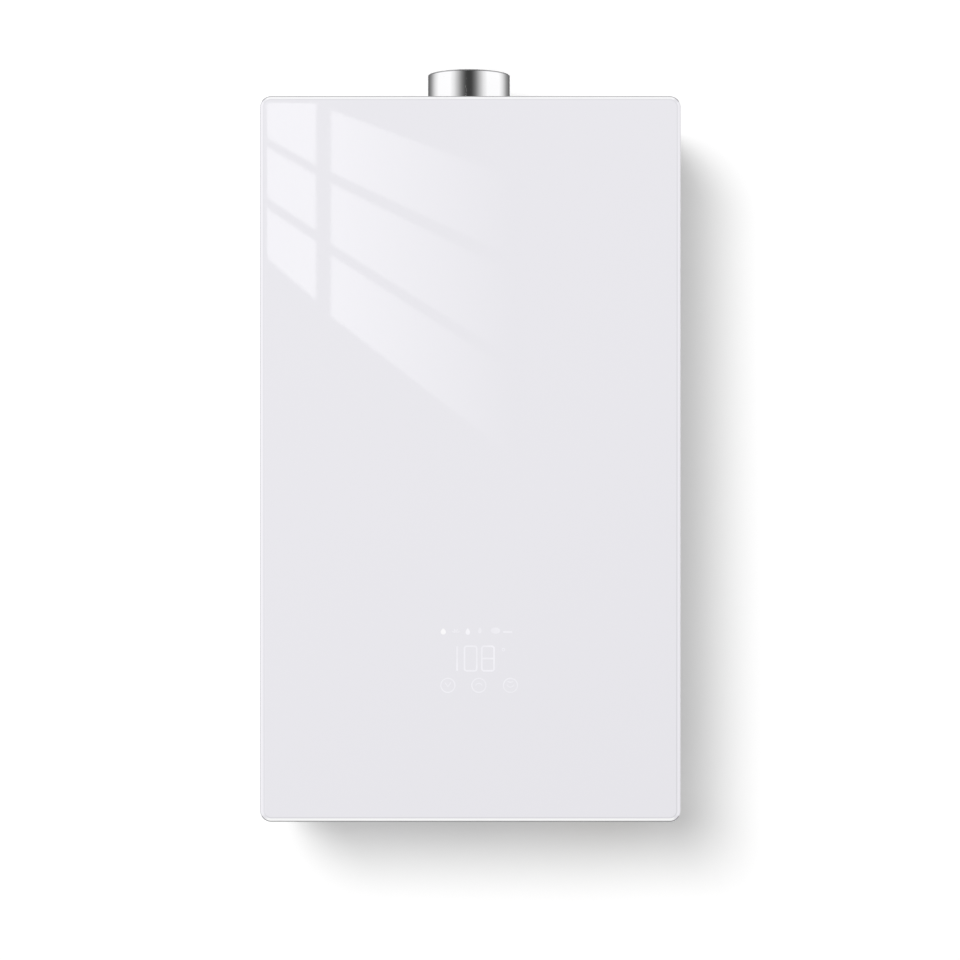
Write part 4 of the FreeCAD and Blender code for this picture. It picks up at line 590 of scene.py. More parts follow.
# Finish: dark and light colour, metallic, range of roughness, scale of grain and of drift, relief in mm
FINISHES = {
    "case paint": ((0.76, 0.76, 0.765), (0.82, 0.82, 0.825), 0.0, (0.36, 0.46), 1100, 5, 0.012),
    "polished steel": ((0.91, 0.91, 0.92), (0.95, 0.95, 0.96), 1.0, (0.02, 0.05), 300, 9, 0.0002),
    "satin steel": ((0.58, 0.58, 0.58), (0.66, 0.66, 0.655), 1.0, (0.25, 0.33), 900, 22, 0.001),
    "turned steel": ((0.52, 0.52, 0.52), (0.68, 0.68, 0.67), 1.0, (0.18, 0.32), 700, 20, 0.002),
    # Darker steel, used only for the band of painted shade on the collar's rim
    "painted shade steel": ((0.40, 0.40, 0.41), (0.52, 0.52, 0.53), 1.0, (0.25, 0.4), 900, 60, 0.004),
    "bright screw": ((0.66, 0.66, 0.64), (0.80, 0.79, 0.75), 1.0, (0.2, 0.34), 900, 60, 0.003),
    "copper": ((0.60, 0.27, 0.16), (0.80, 0.42, 0.27), 1.0, (0.18, 0.36), 260, 16, 0.004),
    "heated copper": ((0.30, 0.13, 0.09), (0.72, 0.36, 0.22), 1.0, (0.26, 0.5), 220, 13, 0.006),
    "brass": ((0.66, 0.47, 0.20), (0.80, 0.61, 0.31), 1.0, (0.16, 0.32), 520, 24, 0.004),
    "cast alloy": ((0.50, 0.50, 0.51), (0.66, 0.66, 0.67), 1.0, (0.42, 0.62), 900, 26, 0.03),
    "burner steel": ((0.34, 0.29, 0.25), (0.58, 0.56, 0.53), 1.0, (0.3, 0.5), 420, 20, 0.003),
    "dark plastic": ((0.030, 0.030, 0.033), (0.052, 0.052, 0.056), 0.0, (0.42, 0.58), 1600, 12, 0.015),
    "pale plastic": ((0.66, 0.66, 0.62), (0.76, 0.76, 0.72), 0.0, (0.38, 0.52), 1500, 9, 0.012),
    "white plastic": ((0.80, 0.80, 0.79), (0.88, 0.88, 0.87), 0.0, (0.34, 0.46), 1500, 12, 0.01),
    "red plastic": ((0.42, 0.03, 0.025), (0.60, 0.06, 0.04), 0.0, (0.34, 0.48), 1500, 12, 0.01),
    "blue plastic": ((0.03, 0.10, 0.34), (0.05, 0.17, 0.50), 0.0, (0.34, 0.48), 1500, 12, 0.01),
    "rubber": ((0.018, 0.018, 0.018), (0.040, 0.040, 0.042), 0.0, (0.60, 0.80), 1300, 20, 0.02),
    "foam tape": ((0.05, 0.05, 0.05), (0.11, 0.11, 0.11), 0.0, (0.75, 0.95), 1800, 30, 0.06),
    "ceramic": ((0.78, 0.77, 0.73), (0.90, 0.89, 0.86), 0.0, (0.16, 0.28), 700, 40, 0.006),
    "mica": ((0.40, 0.30, 0.16), (0.66, 0.54, 0.34), 0.0, (0.12, 0.22), 240, 60, 0.006),
}
# Grain that is drawn out or pressed together along an axis
STRETCHED = {"polished steel": (1, 1, 14), "satin steel": (1, 1, 0.12), "burner steel": (1, 0.06, 1)}
# Clear coat on the glazed and the split finishes
COATED = {"ceramic": 0.25, "mica": 0.4}
# Colour property that sets a finish's lighter colour
TINTS = {"case paint": "case", "polished steel": "steel", "copper": "copper", "brass": "brass"}


def principled(name):
    """New material with its shader and Object coordinates."""
    made = bpy.data.materials.new(name)
    made.use_nodes = True
    tree = made.node_tree
    shader = tree.nodes["Principled BSDF"]
    return made, tree, shader, add(tree, "TexCoord").outputs["Object"]


def grain_of(tree, place, scale, drift, stretch=(1, 1, 1)):
    """Results of the grain group at a scale, with its drift and stretch."""
    return add(tree, "Group", {"Vector": place, "Scale": scale, "Stretch": stretch, "Drift": drift},
               node_tree=grain_group()).outputs


def grained(name):
    """Material whose colour, roughness and relief follow its grain, as the FINISHES table says."""
    dark, light, metallic, rough, scale, drift, depth = FINISHES[name]
    if name in TINTS:
        chosen = np.array(getattr(bpy.context.scene.heater_colours, TINTS[name]))
        dark, light = tuple(chosen * np.divide(dark, light)), tuple(chosen)
    made, tree, shader, place = principled(name)
    shader.inputs["Metallic"].default_value = metallic
    shader.inputs["Coat Weight"].default_value = COATED.get(name, 0.0)
    grain = grain_of(tree, place, scale, drift, STRETCHED.get(name, (1, 1, 1)))
    finish_surface(tree, shader, grain, dark, light, rough, depth)
    return made


def finish_surface(tree, shader, grain, dark, light, rough, depth):
    """Feeds a shader's colour, roughness and relief from a grain."""
    tree.links.new(blended(tree, grain["Tone"], (*dark, 1), (*light, 1)), shader.inputs["Base Color"])
    tree.links.new(ranged(tree, grain["Fine"], 0.0, 1.0, *rough), shader.inputs["Roughness"])
    relief = add(tree, "Bump", {"Height": grain["Fine"], "Distance": depth / 1000, "Strength": 1.0})
    tree.links.new(relief.outputs[0], shader.inputs["Normal"])


def zinc():
    """Zinc-coated sheet with its crystals."""
    made, tree, shader, place = principled("zinc sheet")
    shader.inputs["Metallic"].default_value = 1.0
    cells = add(tree, "Group", {"Vector": place, "Scale": 130.0}, node_tree=spangle_group())
    finish_surface(tree, shader, cells.outputs, (0.50, 0.52, 0.54), (0.70, 0.72, 0.74), (0.34, 0.50), 0.002)
    return made


def sleeving():
    """Black braided sleeve of the wire looms."""
    made, tree, shader, place = principled("sleeving")
    braid = add(tree, "Group", {"Vector": place, "Scale": 300.0}, node_tree=weave_group())
    finish_surface(tree, shader, braid.outputs, (0.016, 0.016, 0.018), (0.06, 0.06, 0.065), (0.55, 0.8), 0.12)
    return made


def circuit_board():
    """Green lacquered board: its copper tracks, a brick pattern's thin joints, show lighter by an uneven
    share."""
    made, tree, shader, place = principled("circuit board")
    flat = add(tree, "CombineXYZ", {"X": add(tree, "SeparateXYZ", {0: place}).outputs["X"],
                                    "Y": add(tree, "SeparateXYZ", {0: place}).outputs["Z"]}).outputs[0]
    tracks = add(tree, "TexBrick", {"Vector": flat, "Scale": 60.0, "Mortar Size": 0.05,
                                    "Color1": (0, 0, 0, 1), "Color2": (0.3, 0.3, 0.3, 1),
                                    "Mortar": (1, 1, 1, 1)})
    wander = add(tree, "TexNoise", {"Vector": flat, "Scale": 300.0, "Detail": 2.0}).outputs[0]
    tone = math_node(tree, "MULTIPLY", add(tree, "SeparateColor", {0: tracks.outputs[0]}).outputs[0],
                     ranged(tree, wander, 0.4, 0.6, 0.4, 1.0))
    tree.links.new(blended(tree, tone, (0.012, 0.10, 0.045, 1), (0.05, 0.24, 0.11, 1)),
                   shader.inputs["Base Color"])
    tree.links.new(ranged(tree, wander, 0.3, 0.7, 0.22, 0.34), shader.inputs["Roughness"])
    relief = add(tree, "Bump", {"Height": tone, "Distance": 0.00003, "Strength": 1.0})
    tree.links.new(relief.outputs[0], shader.inputs["Normal"])
    return made


def tinted(colour, share):
    """Colour times a share, with full alpha."""
    return (*(min(1.0, share * part) for part in colour), 1)


def panel_glass():
    """Back-painted glass: pale paint, and painted light round its edge: a painted highlight on the polished
    bevel, between two thin lines of painted shade that are darkest at the bottom and fade out along the
    upright edges."""
    colours = bpy.context.scene.heater_colours
    sizes = bpy.context.scene.heater_panel
    made, tree, shader, place = principled("white glass")
    shader.inputs["Roughness"].default_value = 0.022
    rim = add(tree, "Group", {"Vector": place, "Half width": sizes.width / 2, "Half height": sizes.height / 2,
                              "Corner": sizes.corner}, node_tree=rim_group()).outputs
    inward, upright = rim["Inward"], rim["Upright"]
    grain = grain_of(tree, place, 900.0, 3.0)
    part = add(tree, "SeparateXYZ", {0: place}).outputs
    paint, bright = colours.panel, colours.rim
    # Masks for the painted light round the edge: height, the upright edges, the corners and the left side
    high = ranged(tree, part["Z"], -0.30, 0.30, 0.0, 1.0)
    edge = math_node(tree, "SUBTRACT", inward, ranged(tree, part["Z"], -0.30, 0.30, 0.0005, 0.0))
    steep = ranged(tree, upright, 0.75, 1.0, 0.0, 1.0)
    turned_part = math_node(tree, "MULTIPLY", upright, math_node(tree, "SUBTRACT", 1.0, upright))
    turned_part = ranged(tree, turned_part, 0.0, 0.25, 0.0, 1.0)
    left = math_node(tree, "MULTIPLY", upright, ranged(tree, part["X"], -0.10, 0.10, 1.0, 0.0))
    field = blended(tree, grain["Tone"], tinted(paint, 0.996), tinted(paint, 1.0))
    # Inner line of painted shade where the bevel meets the flat face, darker at the bottom and weaker on the
    # left
    groove = math_node(tree, "MULTIPLY", ranged(tree, edge, 0.0024, 0.0027, 0.0, 1.0),
                       ranged(tree, edge, 0.0033, 0.0040, 1.0, 0.0))
    groove = math_node(tree, "MULTIPLY", groove, ranged(tree, left, 0.0, 1.0, 1.0, 0.3))
    field = blended(tree, groove, field, blended(tree, high, tinted(paint, 0.86), tinted(paint, 0.92)))
    # Painted highlight on the bevel: full along the level edges, paler along the upright edges and round the
    # corners
    bevel_highlight = blended(tree, high, tinted(bright, 1.05), tinted(bright, 1.0))
    bevel_highlight = blended(tree, upright, bevel_highlight, tinted(paint, 1.06))
    bevel_highlight = blended(tree, turned_part, bevel_highlight, tinted(paint, 0.95))
    field = blended(tree, ranged(tree, edge, 0.0024, 0.0027, 1.0, 0.0), field, bevel_highlight)
    # Outer line of painted shade along the glass's very edge, darkest at the bottom, lighter at the top and
    # on the upright edges
    line = blended(tree, high, tinted(paint, 0.26), tinted(paint, 0.46))
    line = blended(tree, steep, line, blended(tree, left, tinted(paint, 1.0), tinted(paint, 0.78)))
    line = blended(tree, turned_part, line, tinted(paint, 0.32))
    field = blended(tree, ranged(tree, inward, 0.0006, 0.0009, 1.0, 0.0), field, line)
    tree.links.new(field, shader.inputs["Base Color"])
    return made


def painted_display_glow(name, share):
    """Lines of the lit display behind the paint, a little uneven: their glow is painted, as a colour lighter
    than the paint by a share.
    """
    made, tree, shader, place = principled(name)
    shader.inputs["Roughness"].default_value = 0.05
    glow = bpy.context.scene.heater_colours.glow
    grain = grain_of(tree, place, 1500.0, 90.0)
    tone = blended(tree, grain["Tone"], tinted(glow, 0.96 * share), tinted(glow, share))
    tree.links.new(tone, shader.inputs["Base Color"])
    return made


SPECIAL = {"zinc sheet": zinc, "sleeving": sleeving, "circuit board": circuit_board,
           "white glass": panel_glass,
           "display glow": lambda: painted_display_glow("display glow", 1.0),
           "display faint": lambda: painted_display_glow("display faint", 0.985),
           "display bright": lambda: painted_display_glow("display bright", 1.06)}


def material(name):
    """Finish by name, made once."""
    return bpy.data.materials.get(name) or (SPECIAL[name]() if name in SPECIAL else grained(name))


class HEATER_OT_panel(bpy.types.Operator):
    """Makes the glass front with its polished bevel"""

    bl_idname = "heater.panel"
    bl_label = "Glass front"

    def execute(self, context):
        sizes = context.scene.heater_panel
        bevel = sizes.bevel * 1000
        size = [value * 1000 for value in (sizes.width, sizes.height, sizes.corner)]
        profile = [(0.6, 0.0), (0.3, 0.0), (0.08, 0.09), (0.0, 0.3), (0.0, 3.2), (0.06, 3.45), (0.25, 3.6)]
        slope = [(bevel * 0.55, 3.8), (bevel - 0.35, 3.95), (bevel, 3.99), (bevel + 0.5, 4.0),
                 (bevel + 5, 4.0)]
        low = middle("glass_panel") * [1, 0, 1] + BACK * PANEL_HIGH[1]
        glass = slab(*size, profile + slope, low, steps=10)
        piece("front_glass", "cover", {"white glass": [glass]}, ["glass_panel"], angle=60)
        dress(["panel_tape"], "foam tape")
        return {"FINISHED"}


class HEATER_OT_display(bpy.types.Operator):
    """Makes the display's figures, small signs, touch key rings and the springs behind the keys"""

    bl_idname = "heater.display"
    bl_label = "Display"

    def execute(self, context):
        sizes = context.scene.heater_panel
        self.front, self.thick = PANEL_LOW[1] - 0.04, 0.08
        self.figures(sizes)
        self.signs()
        self.keys(sizes.key_radius * 1000)
        low, high = span("touch_springs")
        turns, wire, pad = 4, 0.45, 4
        pitch = (high[1] - low[1] - 2 * wire) / turns
        springs = [helix((x, low[1] + wire, (low[2] + high[2]) / 2), BACK, 3.0, pitch, turns, wire)
                   for x in (low[0] + pad, (low[0] + high[0]) / 2, high[0] - pad)]
        piece("key_springs", "cover", {"bright screw": springs}, ["touch_springs"])
        return {"FINISHED"}

    def line(self, points, width, closed=False):
        """Line on the glass at the display's depth and thickness."""
        return ribbon(points, width, self.front, self.thick, closed)

    def figures(self, sizes):
        """A one, a nought and an eight of even strokes with round corners, and a degree ring."""
        wide, tall, stroke = sizes.figure_width * 1000, sizes.figure_height * 1000, sizes.stroke * 1000
        base, one, nought, eight, degree = -190.0, -11.9, -5.3, 10.2, 29.6
        level = base + tall / 2
        lines = [self.line([(one, base), (one, base + tall)], stroke)]
        for left in (nought, eight):
            outline = rounded_rectangle(wide, tall, 2.0, 3) + [left + wide / 2, level]
            lines.append(self.line(outline, stroke, closed=True))
        lines.append(self.line([(eight + stroke / 2, level), (eight + wide - stroke / 2, level)], stroke))
        lines.append(self.line(circle(1.2, 16) + [degree, base + tall - 3.0], 0.7, closed=True))
        piece("display_figures", "cover", {"display glow": lines})

    def filled(self, x, z, across, up, point=0.0):
        """Filled drop: an oval drawn up to a point by the cube of the cosine."""
        turn = np.linspace(0, 2 * np.pi, 24, endpoint=False)
        top = np.clip(np.cos(turn), 0, 1) ** 3
        outline = np.stack([x + across * np.sin(turn) * (1 - 0.4 * point * top),
                            z + up * (np.cos(turn) + 0.6 * point * top)], -1)
        return skin(layered([(outline, self.front), (outline, self.front + self.thick)], 1))

    def signs(self):
        """Row of small signs over the figures."""
        level = -155.2
        bright = [self.filled(-24.3, level, 2.4, 2.3, 0.6), self.filled(-2.3, level - 0.3, 2.0, 2.3, 1.0)]
        dim = [self.filled(8.5, level + 0.9, 1.6, 2.2, 0.8), self.filled(22.5, level + 1.3, 4.2, 2.8),
               self.line([(29.2, level), (37.4, level)], 1.6)]
        fan_foot = (-13.1, level - 1.2)
        for turn in (0.5, 1.2, 1.9, 2.6):
            way = np.array([math.cos(turn), math.sin(turn)])
            dim.append(self.line([fan_foot + 0.6 * way, fan_foot + 4.0 * way], 0.7))
        piece("display_signs", "cover", {"display bright": bright, "display faint": dim})

    def keys(self, radius):
        """Three rings with a thin sign in each: a clock's hands, a bow and a curl."""
        level, left, centre, right = -203.0, -20.2, 7.6, 35.9
        rings = [self.line(circle(radius, 40) + [x, level], 1.0, closed=True) for x in (left, centre, right)]
        arc = spokes(np.linspace(math.radians(200), math.radians(340), 12))
        hands = [(left - 2.6, level + 2.6), (left, level - 1.4), (left + 2.6, level + 2.6)]
        curl = [(right - 2.5, level + 3.4), (right, level + 2.6), (right + 2.5, level + 3.4)]
        signs = [hands, -arc * 3.0 + [centre, level - 1.2], arc * 3.2 + [right, level + 1.6], curl]
        rings += [self.line(sign, 0.9) for sign in signs]
        piece("touch_key_rings", "cover", {"display faint": rings})


class HEATER_OT_collar(bpy.types.Operator):
    """Makes the flue collar with its rolled rim, its plate and the flap's stop"""

    bl_idname = "heater.collar"
    bl_label = "Flue collar"

    def execute(self, context):
        metal = context.scene.heater_metal
        rim = metal.rim * 1000
        low, top = COLLAR_LOW[2], COLLAR_HIGH[2] + 0.8
        outer, inner = COLLAR_RADIUS, COLLAR_BORE
        axis = np.array([COLLAR_X, COLLAR_Y, 0.0])
        roll = [outer - rim, top - rim] + rim * spokes(np.linspace(0, 1.35 * np.pi, 12))
        wall = [(outer, low + rise) for rise in (0.3, 20, 36.5, 45)] + [(outer, top - 8)]
        inside = [(inner, top - 2 * rim - 1.2), (inner, low + 36), (inner, low + 0.3), (inner + 0.15, low),
                  (outer - 0.15, low)]
        tube_wall = turned(np.concatenate([wall, roll, inside]), axis, UP, sides=96, loop=True)
        # Dark steel band round the top outer edge of the rolled rim: painted shade that stands in for the
        # rim's dark reflection
        edge = [(outer - 0.15, top - 1.05), (outer + 0.08, top - 1.0), (outer + 0.08, top - 0.2),
                (outer - 0.2, top + 0.05), (outer - 0.6, top + 0.05), (outer - 0.6, top - 0.3)]
        painted_shade_ring = turned(edge, axis, UP, sides=96, loop=True)
        ear = 20.0
        plate_low = span("back_pan")[1][2] - ear
        plate_top = plate_low + CASE_SHEET
        plate_width, plate_depth = 236.0, 88.0
        square = rounded_rectangle(plate_width, plate_depth, 5.0, 23)
        hole = circle(1.0, len(square))
        rows = [(hole * (outer + 0.05), plate_low), (hole * (outer + 0.05), plate_top + 0.9),
                (hole * (outer + 0.5), plate_top + 0.25), (hole * (outer + 1.3), plate_top),
                (square * [0.99, 0.985], plate_top), (square, plate_top - 0.3), (square, plate_low)]
        plate = skin(layered(rows, 2) + axis, loop=True)
        shut = span("damper_flap")[0][2] - 0.3
        stop = soft_box((COLLAR_X - 7, COLLAR_Y - 37.6, shut - 3), (COLLAR_X + 7, COLLAR_Y - 34.2, shut), 0.3)
        piece("vent_collar", "heater",
              {"polished steel": [tube_wall, plate, stop], "painted shade steel": [painted_shade_ring]},
              ["flue_collar"], angle=40)
        heads = [screw((COLLAR_X + side * reach, COLLAR_Y + end * 37, plate_top), UP, 3.4)
                 for side in BOTH for reach in (50, 110) for end in BOTH]
        piece("collar_screws", "heater", {"bright screw": heads})
        return {"FINISHED"}


class HEATER_OT_flap(bpy.types.Operator):
    """Makes the backdraft flap with its pressed ring and rolled sleeves, and the pin it swings on"""

    bl_idname = "heater.flap"
    bl_label = "Backdraft flap"

    def execute(self, context):
        low, high = span("damper_flap")
        pin = middle("damper_pin")
        radius = float(high[0] - low[0]) / 2
        disc = turned([(radius - 0.2, 0), (radius, 0.2), (radius, 0.6), (radius - 0.2, 0.8), (29, 0.8),
                       (27.5, 1.7), (25, 1.7), (23.5, 0.8)], (COLLAR_X, COLLAR_Y, low[2]), UP, 64)
        section = [(1.56, 0), (2.6, 0), (2.6, 9), (1.56, 9)]
        sleeves = [turned(section, (COLLAR_X + side * 17 - 4.5, pin[1], pin[2]), RIGHT, 32,
                          loop=True) for side in BOTH]
        piece("backdraft_flap", "flap", {"satin steel": [disc] + sleeves}, ["damper_flap"])
        left, right = (corner[0] for corner in span("damper_pin"))
        length = right - left
        profile = [(1.3, 0), (1.5, 0.3), (1.5, length - 0.3), (1.3, length)]
        rod = turned(profile, (left, pin[1], pin[2]), RIGHT, 24)
        piece("flap_pin", "heater", {"turned steel": [rod]}, ["damper_pin"])
        return {"FINISHED"}


class HEATER_OT_case(bpy.types.Operator):
    """Finishes the case sheets and adds their screws"""

    bl_idname = "heater.case"
    bl_label = "Case"

    def execute(self, context):
        head = context.scene.heater_metal.screw * 1000
        dress(["back_pan", "bottom_plate", "front_cover"], "case paint")
        top = span("front_cover")[1][2]
        heads = [screw((x, -126.7, way * top), UP * way, head) for x in (-120, 120) for way in BOTH]
        piece("cover_screws", "cover", {"bright screw": heads})
        low, high = span("bottom_plate")
        feet = [screw((side * (high[0] - 4), y, low[2]), DOWN, 2.8) for side in BOTH for y in (-30, -100)]
        piece("plate_screws", "heater", {"bright screw": feet})
        return {"FINISHED"}


def seen_only_by(thing, rays):
    """Hides a stage object from every kind of ray but one."""
    for kind in ("camera", "diffuse", "glossy", "transmission", "shadow", "volume_scatter"):
        setattr(thing, "visible_" + kind, kind == rays)


def bare_tree(owner):
    """Emptied node tree of a material or a world."""
    owner.use_nodes = True
    owner.node_tree.nodes.clear()
    return owner.node_tree


def seen_straight(tree):
    """One for rays of the camera and for glossy and transmitted ones, nought for the rest."""
    path = add(tree, "LightPath").outputs
    seen = math_node(tree, "ADD", path["Is Camera Ray"], path["Is Glossy Ray"])
    return math_node(tree, "ADD", seen, path["Is Transmission Ray"])


def place_parts(tree):
    """The three Object coordinates, apart."""
    return add(tree, "SeparateXYZ", {0: add(tree, "TexCoord").outputs["Object"]}).outputs


def put_out(tree, shader, kind="Material"):
    """Feeds the output of a material or a world."""
    tree.links.new(shader.outputs[0], add(tree, "Output" + kind).inputs[0])


def stage_sheet(name, grid, finish):
    """Open sheet of the stage over a grid of points in metres."""
    rows, columns = grid.shape[:2]
    quads = quads_between(np.arange(rows * columns).reshape(rows, columns))
    mesh = bpy.data.meshes.new(name)
    mesh.from_pydata(grid.reshape(-1, 3).tolist(), [], quads.tolist())
    mesh.materials.append(finish)
    made = bpy.data.objects.new(name, mesh)
    bpy.context.scene.collection.objects.link(made)
    return made


def backdrop_finish(name, own_light):
    """White backdrop: it keeps the object's shadow, adds even light of its own for the camera and for glossy
    and transmitted rays, and is clear from behind."""
    made = bpy.data.materials.new(name)
    tree = bare_tree(made)
    own = add(tree, "Emission", {"Strength": math_node(tree, "MULTIPLY", seen_straight(tree), own_light)})
    lit = add(tree, "BsdfDiffuse", {"Color": (0.95, 0.95, 0.95, 1)})
    both = add(tree, "AddShader", {0: own.outputs[0], 1: lit.outputs[0]})
    clear = add(tree, "BsdfTransparent")
    back = add(tree, "NewGeometry").outputs["Backfacing"]
    put_out(tree, add(tree, "MixShader", {0: back, 1: both.outputs[0], 2: clear.outputs[0]}))
    return made


class HEATER_OT_stage(bpy.types.Operator):
    """Sets up the wall, floor, lamps, reflections and camera"""

    bl_idname = "heater.stage"
    bl_label = "Stage"

    def execute(self, context):
        stage = context.scene.heater_stage
        self.backdrops(stage)
        self.reflections()
        self.window()
        self.lamps(context, stage)
        self.camera(context, stage)
        context.scene.view_settings.view_transform = "Standard"
        return {"FINISHED"}

    def backdrops(self, stage):
        """Wall just behind the case and a floor far below it, both 8 m wide."""
        x, z = np.meshgrid([-4.0, 4.0], [-4.0, 4.0])
        behind, below = 0.0008, -1.4
        for name, grid, own_light in (("wall", [x, np.full_like(x, behind), z], stage.wall),
                                      ("floor", [x, z, np.full_like(x, below)], 0.6)):
            sheet = stage_sheet(name, np.stack(grid, -1), backdrop_finish(name + " white", own_light))
            seen_only_by(sheet, "camera")

    def reflections(self):
        """Drum of soft light round the heater that only polished surfaces see: dark straight ahead and
        behind, bright to both sides, with dim ends. Its tone follows the cosine of the angle from ahead."""
        reach, rise = 4.0, 2.5
        made = bpy.data.materials.new("reflector")
        tree = bare_tree(made)
        part = place_parts(tree)
        ramp = add(tree, "ValToRGB", {0: ranged(tree, part["Y"], reach, -reach, 0.0, 1.0)})
        stops = [(0.02, 0.10), (0.17, 0.30), (0.34, 0.76), (0.47, 1.0), (0.80, 1.0), (0.88, 0.78),
                 (0.935, 0.48), (0.975, 0.19), (0.998, 0.045)]
        points = ramp.color_ramp.elements
        for number, (where, tone) in enumerate(stops):
            stop = points[number] if number < 2 else points.new(where)
            stop.position = where
            stop.color = (tone, tone, tone, 1)
        ends = ranged(tree, math_node(tree, "ABSOLUTE", part["Z"]), rise - 0.3, rise, 0.0, 1.0)
        tone = blended(tree, ends, ramp.outputs[0], (0.22, 0.22, 0.22, 1))
        put_out(tree, add(tree, "Emission", {"Color": tone, "Strength": 1.05}))
        turn = np.linspace(0, 2 * np.pi, 97)
        pole = 0.02
        radius, level = np.array([[pole, reach, reach, pole], [rise, rise, -rise, -rise]])[..., None]
        drum = np.stack([radius * np.sin(turn), -radius * np.cos(turn), level + 0 * turn], -1)
        seen_only_by(stage_sheet("reflector", drum, made), "glossy")

    def window(self):
        """Panes of a tall window behind the camera, which only the glass front mirrors.

        Each pane is drawn where its image falls on the glass, and goes out from there to the window's plane
        along the line from the camera's own image. The corners are in pixels of the front view: the sides of
        the two columns, and the left and right ends of each pane's top and bottom.
        """
        made = bpy.data.materials.new("window panes")
        tree = bare_tree(made)
        fade = ranged(tree, place_parts(tree)["X"], -0.32, 0.08, 1.0, 0.0)
        put_out(tree, add(tree, "Emission", {"Strength": math_node(tree, "MULTIPLY", fade, 2.35)}))
        metres_per_pixel = 0.8966e-3
        middle_x, middle_z = 470.5, 458.7
        sides = ((260, 316), (331, 520))
        tops = (((92, 97), (143, 175), (204, 241)), ((110, 180), (183, 276), (255, 376)))
        bottoms = (((134, 165), (193, 230), (252, 300)), ((172, 260), (244, 362), (316, 462)))
        eye = np.array([0.0085, -0.0191])
        window_y, image_y, image_to_glass = -3.0, 2.04, 2.2
        panes = [(across, top, bottom) for across, column_tops, column_bottoms in zip(sides, tops, bottoms)
                 for top, bottom in zip(column_tops, column_bottoms)]
        for number, (across, top, bottom) in enumerate(panes):
            corner = np.array([list(zip(across, top)), list(zip(across, bottom))], float)
            on_glass = (corner - [middle_x, middle_z]) * [metres_per_pixel, -metres_per_pixel]
            there = eye + (on_glass - eye) * ((image_y - window_y) / image_to_glass)
            grid = np.insert(there[::-1], 1, window_y, -1)[:, ::-1]
            seen_only_by(stage_sheet(f"window_pane_{number + 1}", grid, made), "glossy")

    def lamps(self, context, stage):
        """One large soft lamp from the upper left front, longest from upper left to lower right, and even
        light from the room."""
        lamp = bpy.data.lights.new("key", "AREA")
        lamp.shape = "ELLIPSE"
        lamp.size, lamp.size_y = 5.4, 3.9
        lamp.energy = stage.key
        lean = math.radians(-42)
        key = bpy.data.objects.new("key", lamp)
        key.location = (-2.84, -9.3, 2.92)
        aim = (Vector((0.0, -0.1, 0.0)) - key.location).to_track_quat("-Z", "Y")
        key.rotation_euler = (aim @ Quaternion((0, 0, 1), lean)).to_euler()
        key.visible_glossy = False
        context.scene.collection.objects.link(key)
        world = bpy.data.worlds.new("room")
        context.scene.world = world
        tree = bare_tree(world)
        even, white = (add(tree, "Background", {"Color": (1, 1, 1, 1), "Strength": strength}).outputs[0]
                       for strength in (stage.ambient, 1.0))
        put_out(tree, add(tree, "MixShader", {0: seen_straight(tree), 1: even, 2: white}), "World")

    def camera(self, context, stage):
        """Camera that looks straight at the front, level, from a little below the middle."""
        lens = bpy.data.cameras.new("camera")
        lens.sensor_width = 36.0
        lens.lens = stage.lens
        lens.clip_start, lens.clip_end = 0.05, 50.0
        eye = bpy.data.objects.new("camera", lens)
        eye.location = (0.0086, PANEL_LOW[1] / 1000 - stage.distance, -0.0189)
        eye.rotation_euler = (math.pi / 2, 0, 0)
        context.scene.collection.objects.link(eye)
        context.scene.camera = eye


def connection(x, y, low, top, metal):
    """Threaded connection through the bottom plate: thread, neck, nut, flange and stem, all bored."""
    thread_length, neck_length, neck_radius, bore = 15.0, 2.0, 9.4, 7.5
    neck = low + thread_length
    nut_low = neck + neck_length
    nut_high = PLATE_LOW - 1.2
    rise = top - nut_high
    collar = [(bore, 0), (neck_radius, 0), (neck_radius, neck_length), (bore, neck_length)]
    stem = [(bore, 0), (neck_radius, 0), (neck_radius, rise), (neck_radius - 0.5, rise + 0.5),
            (bore, rise + 0.5)]
    return [thread((x, y, low), UP, 10.65, thread_length, bore, metal),
            turned(collar, (x, y, neck), UP, loop=True),
            nut((x, y, nut_low), UP, 27.0, nut_high - nut_low, bore),
            turned(stem, (x, y, nut_high), UP, loop=True),
            nut((x, y, PLATE_TOP), UP, 36.0, 4.0, bore)]


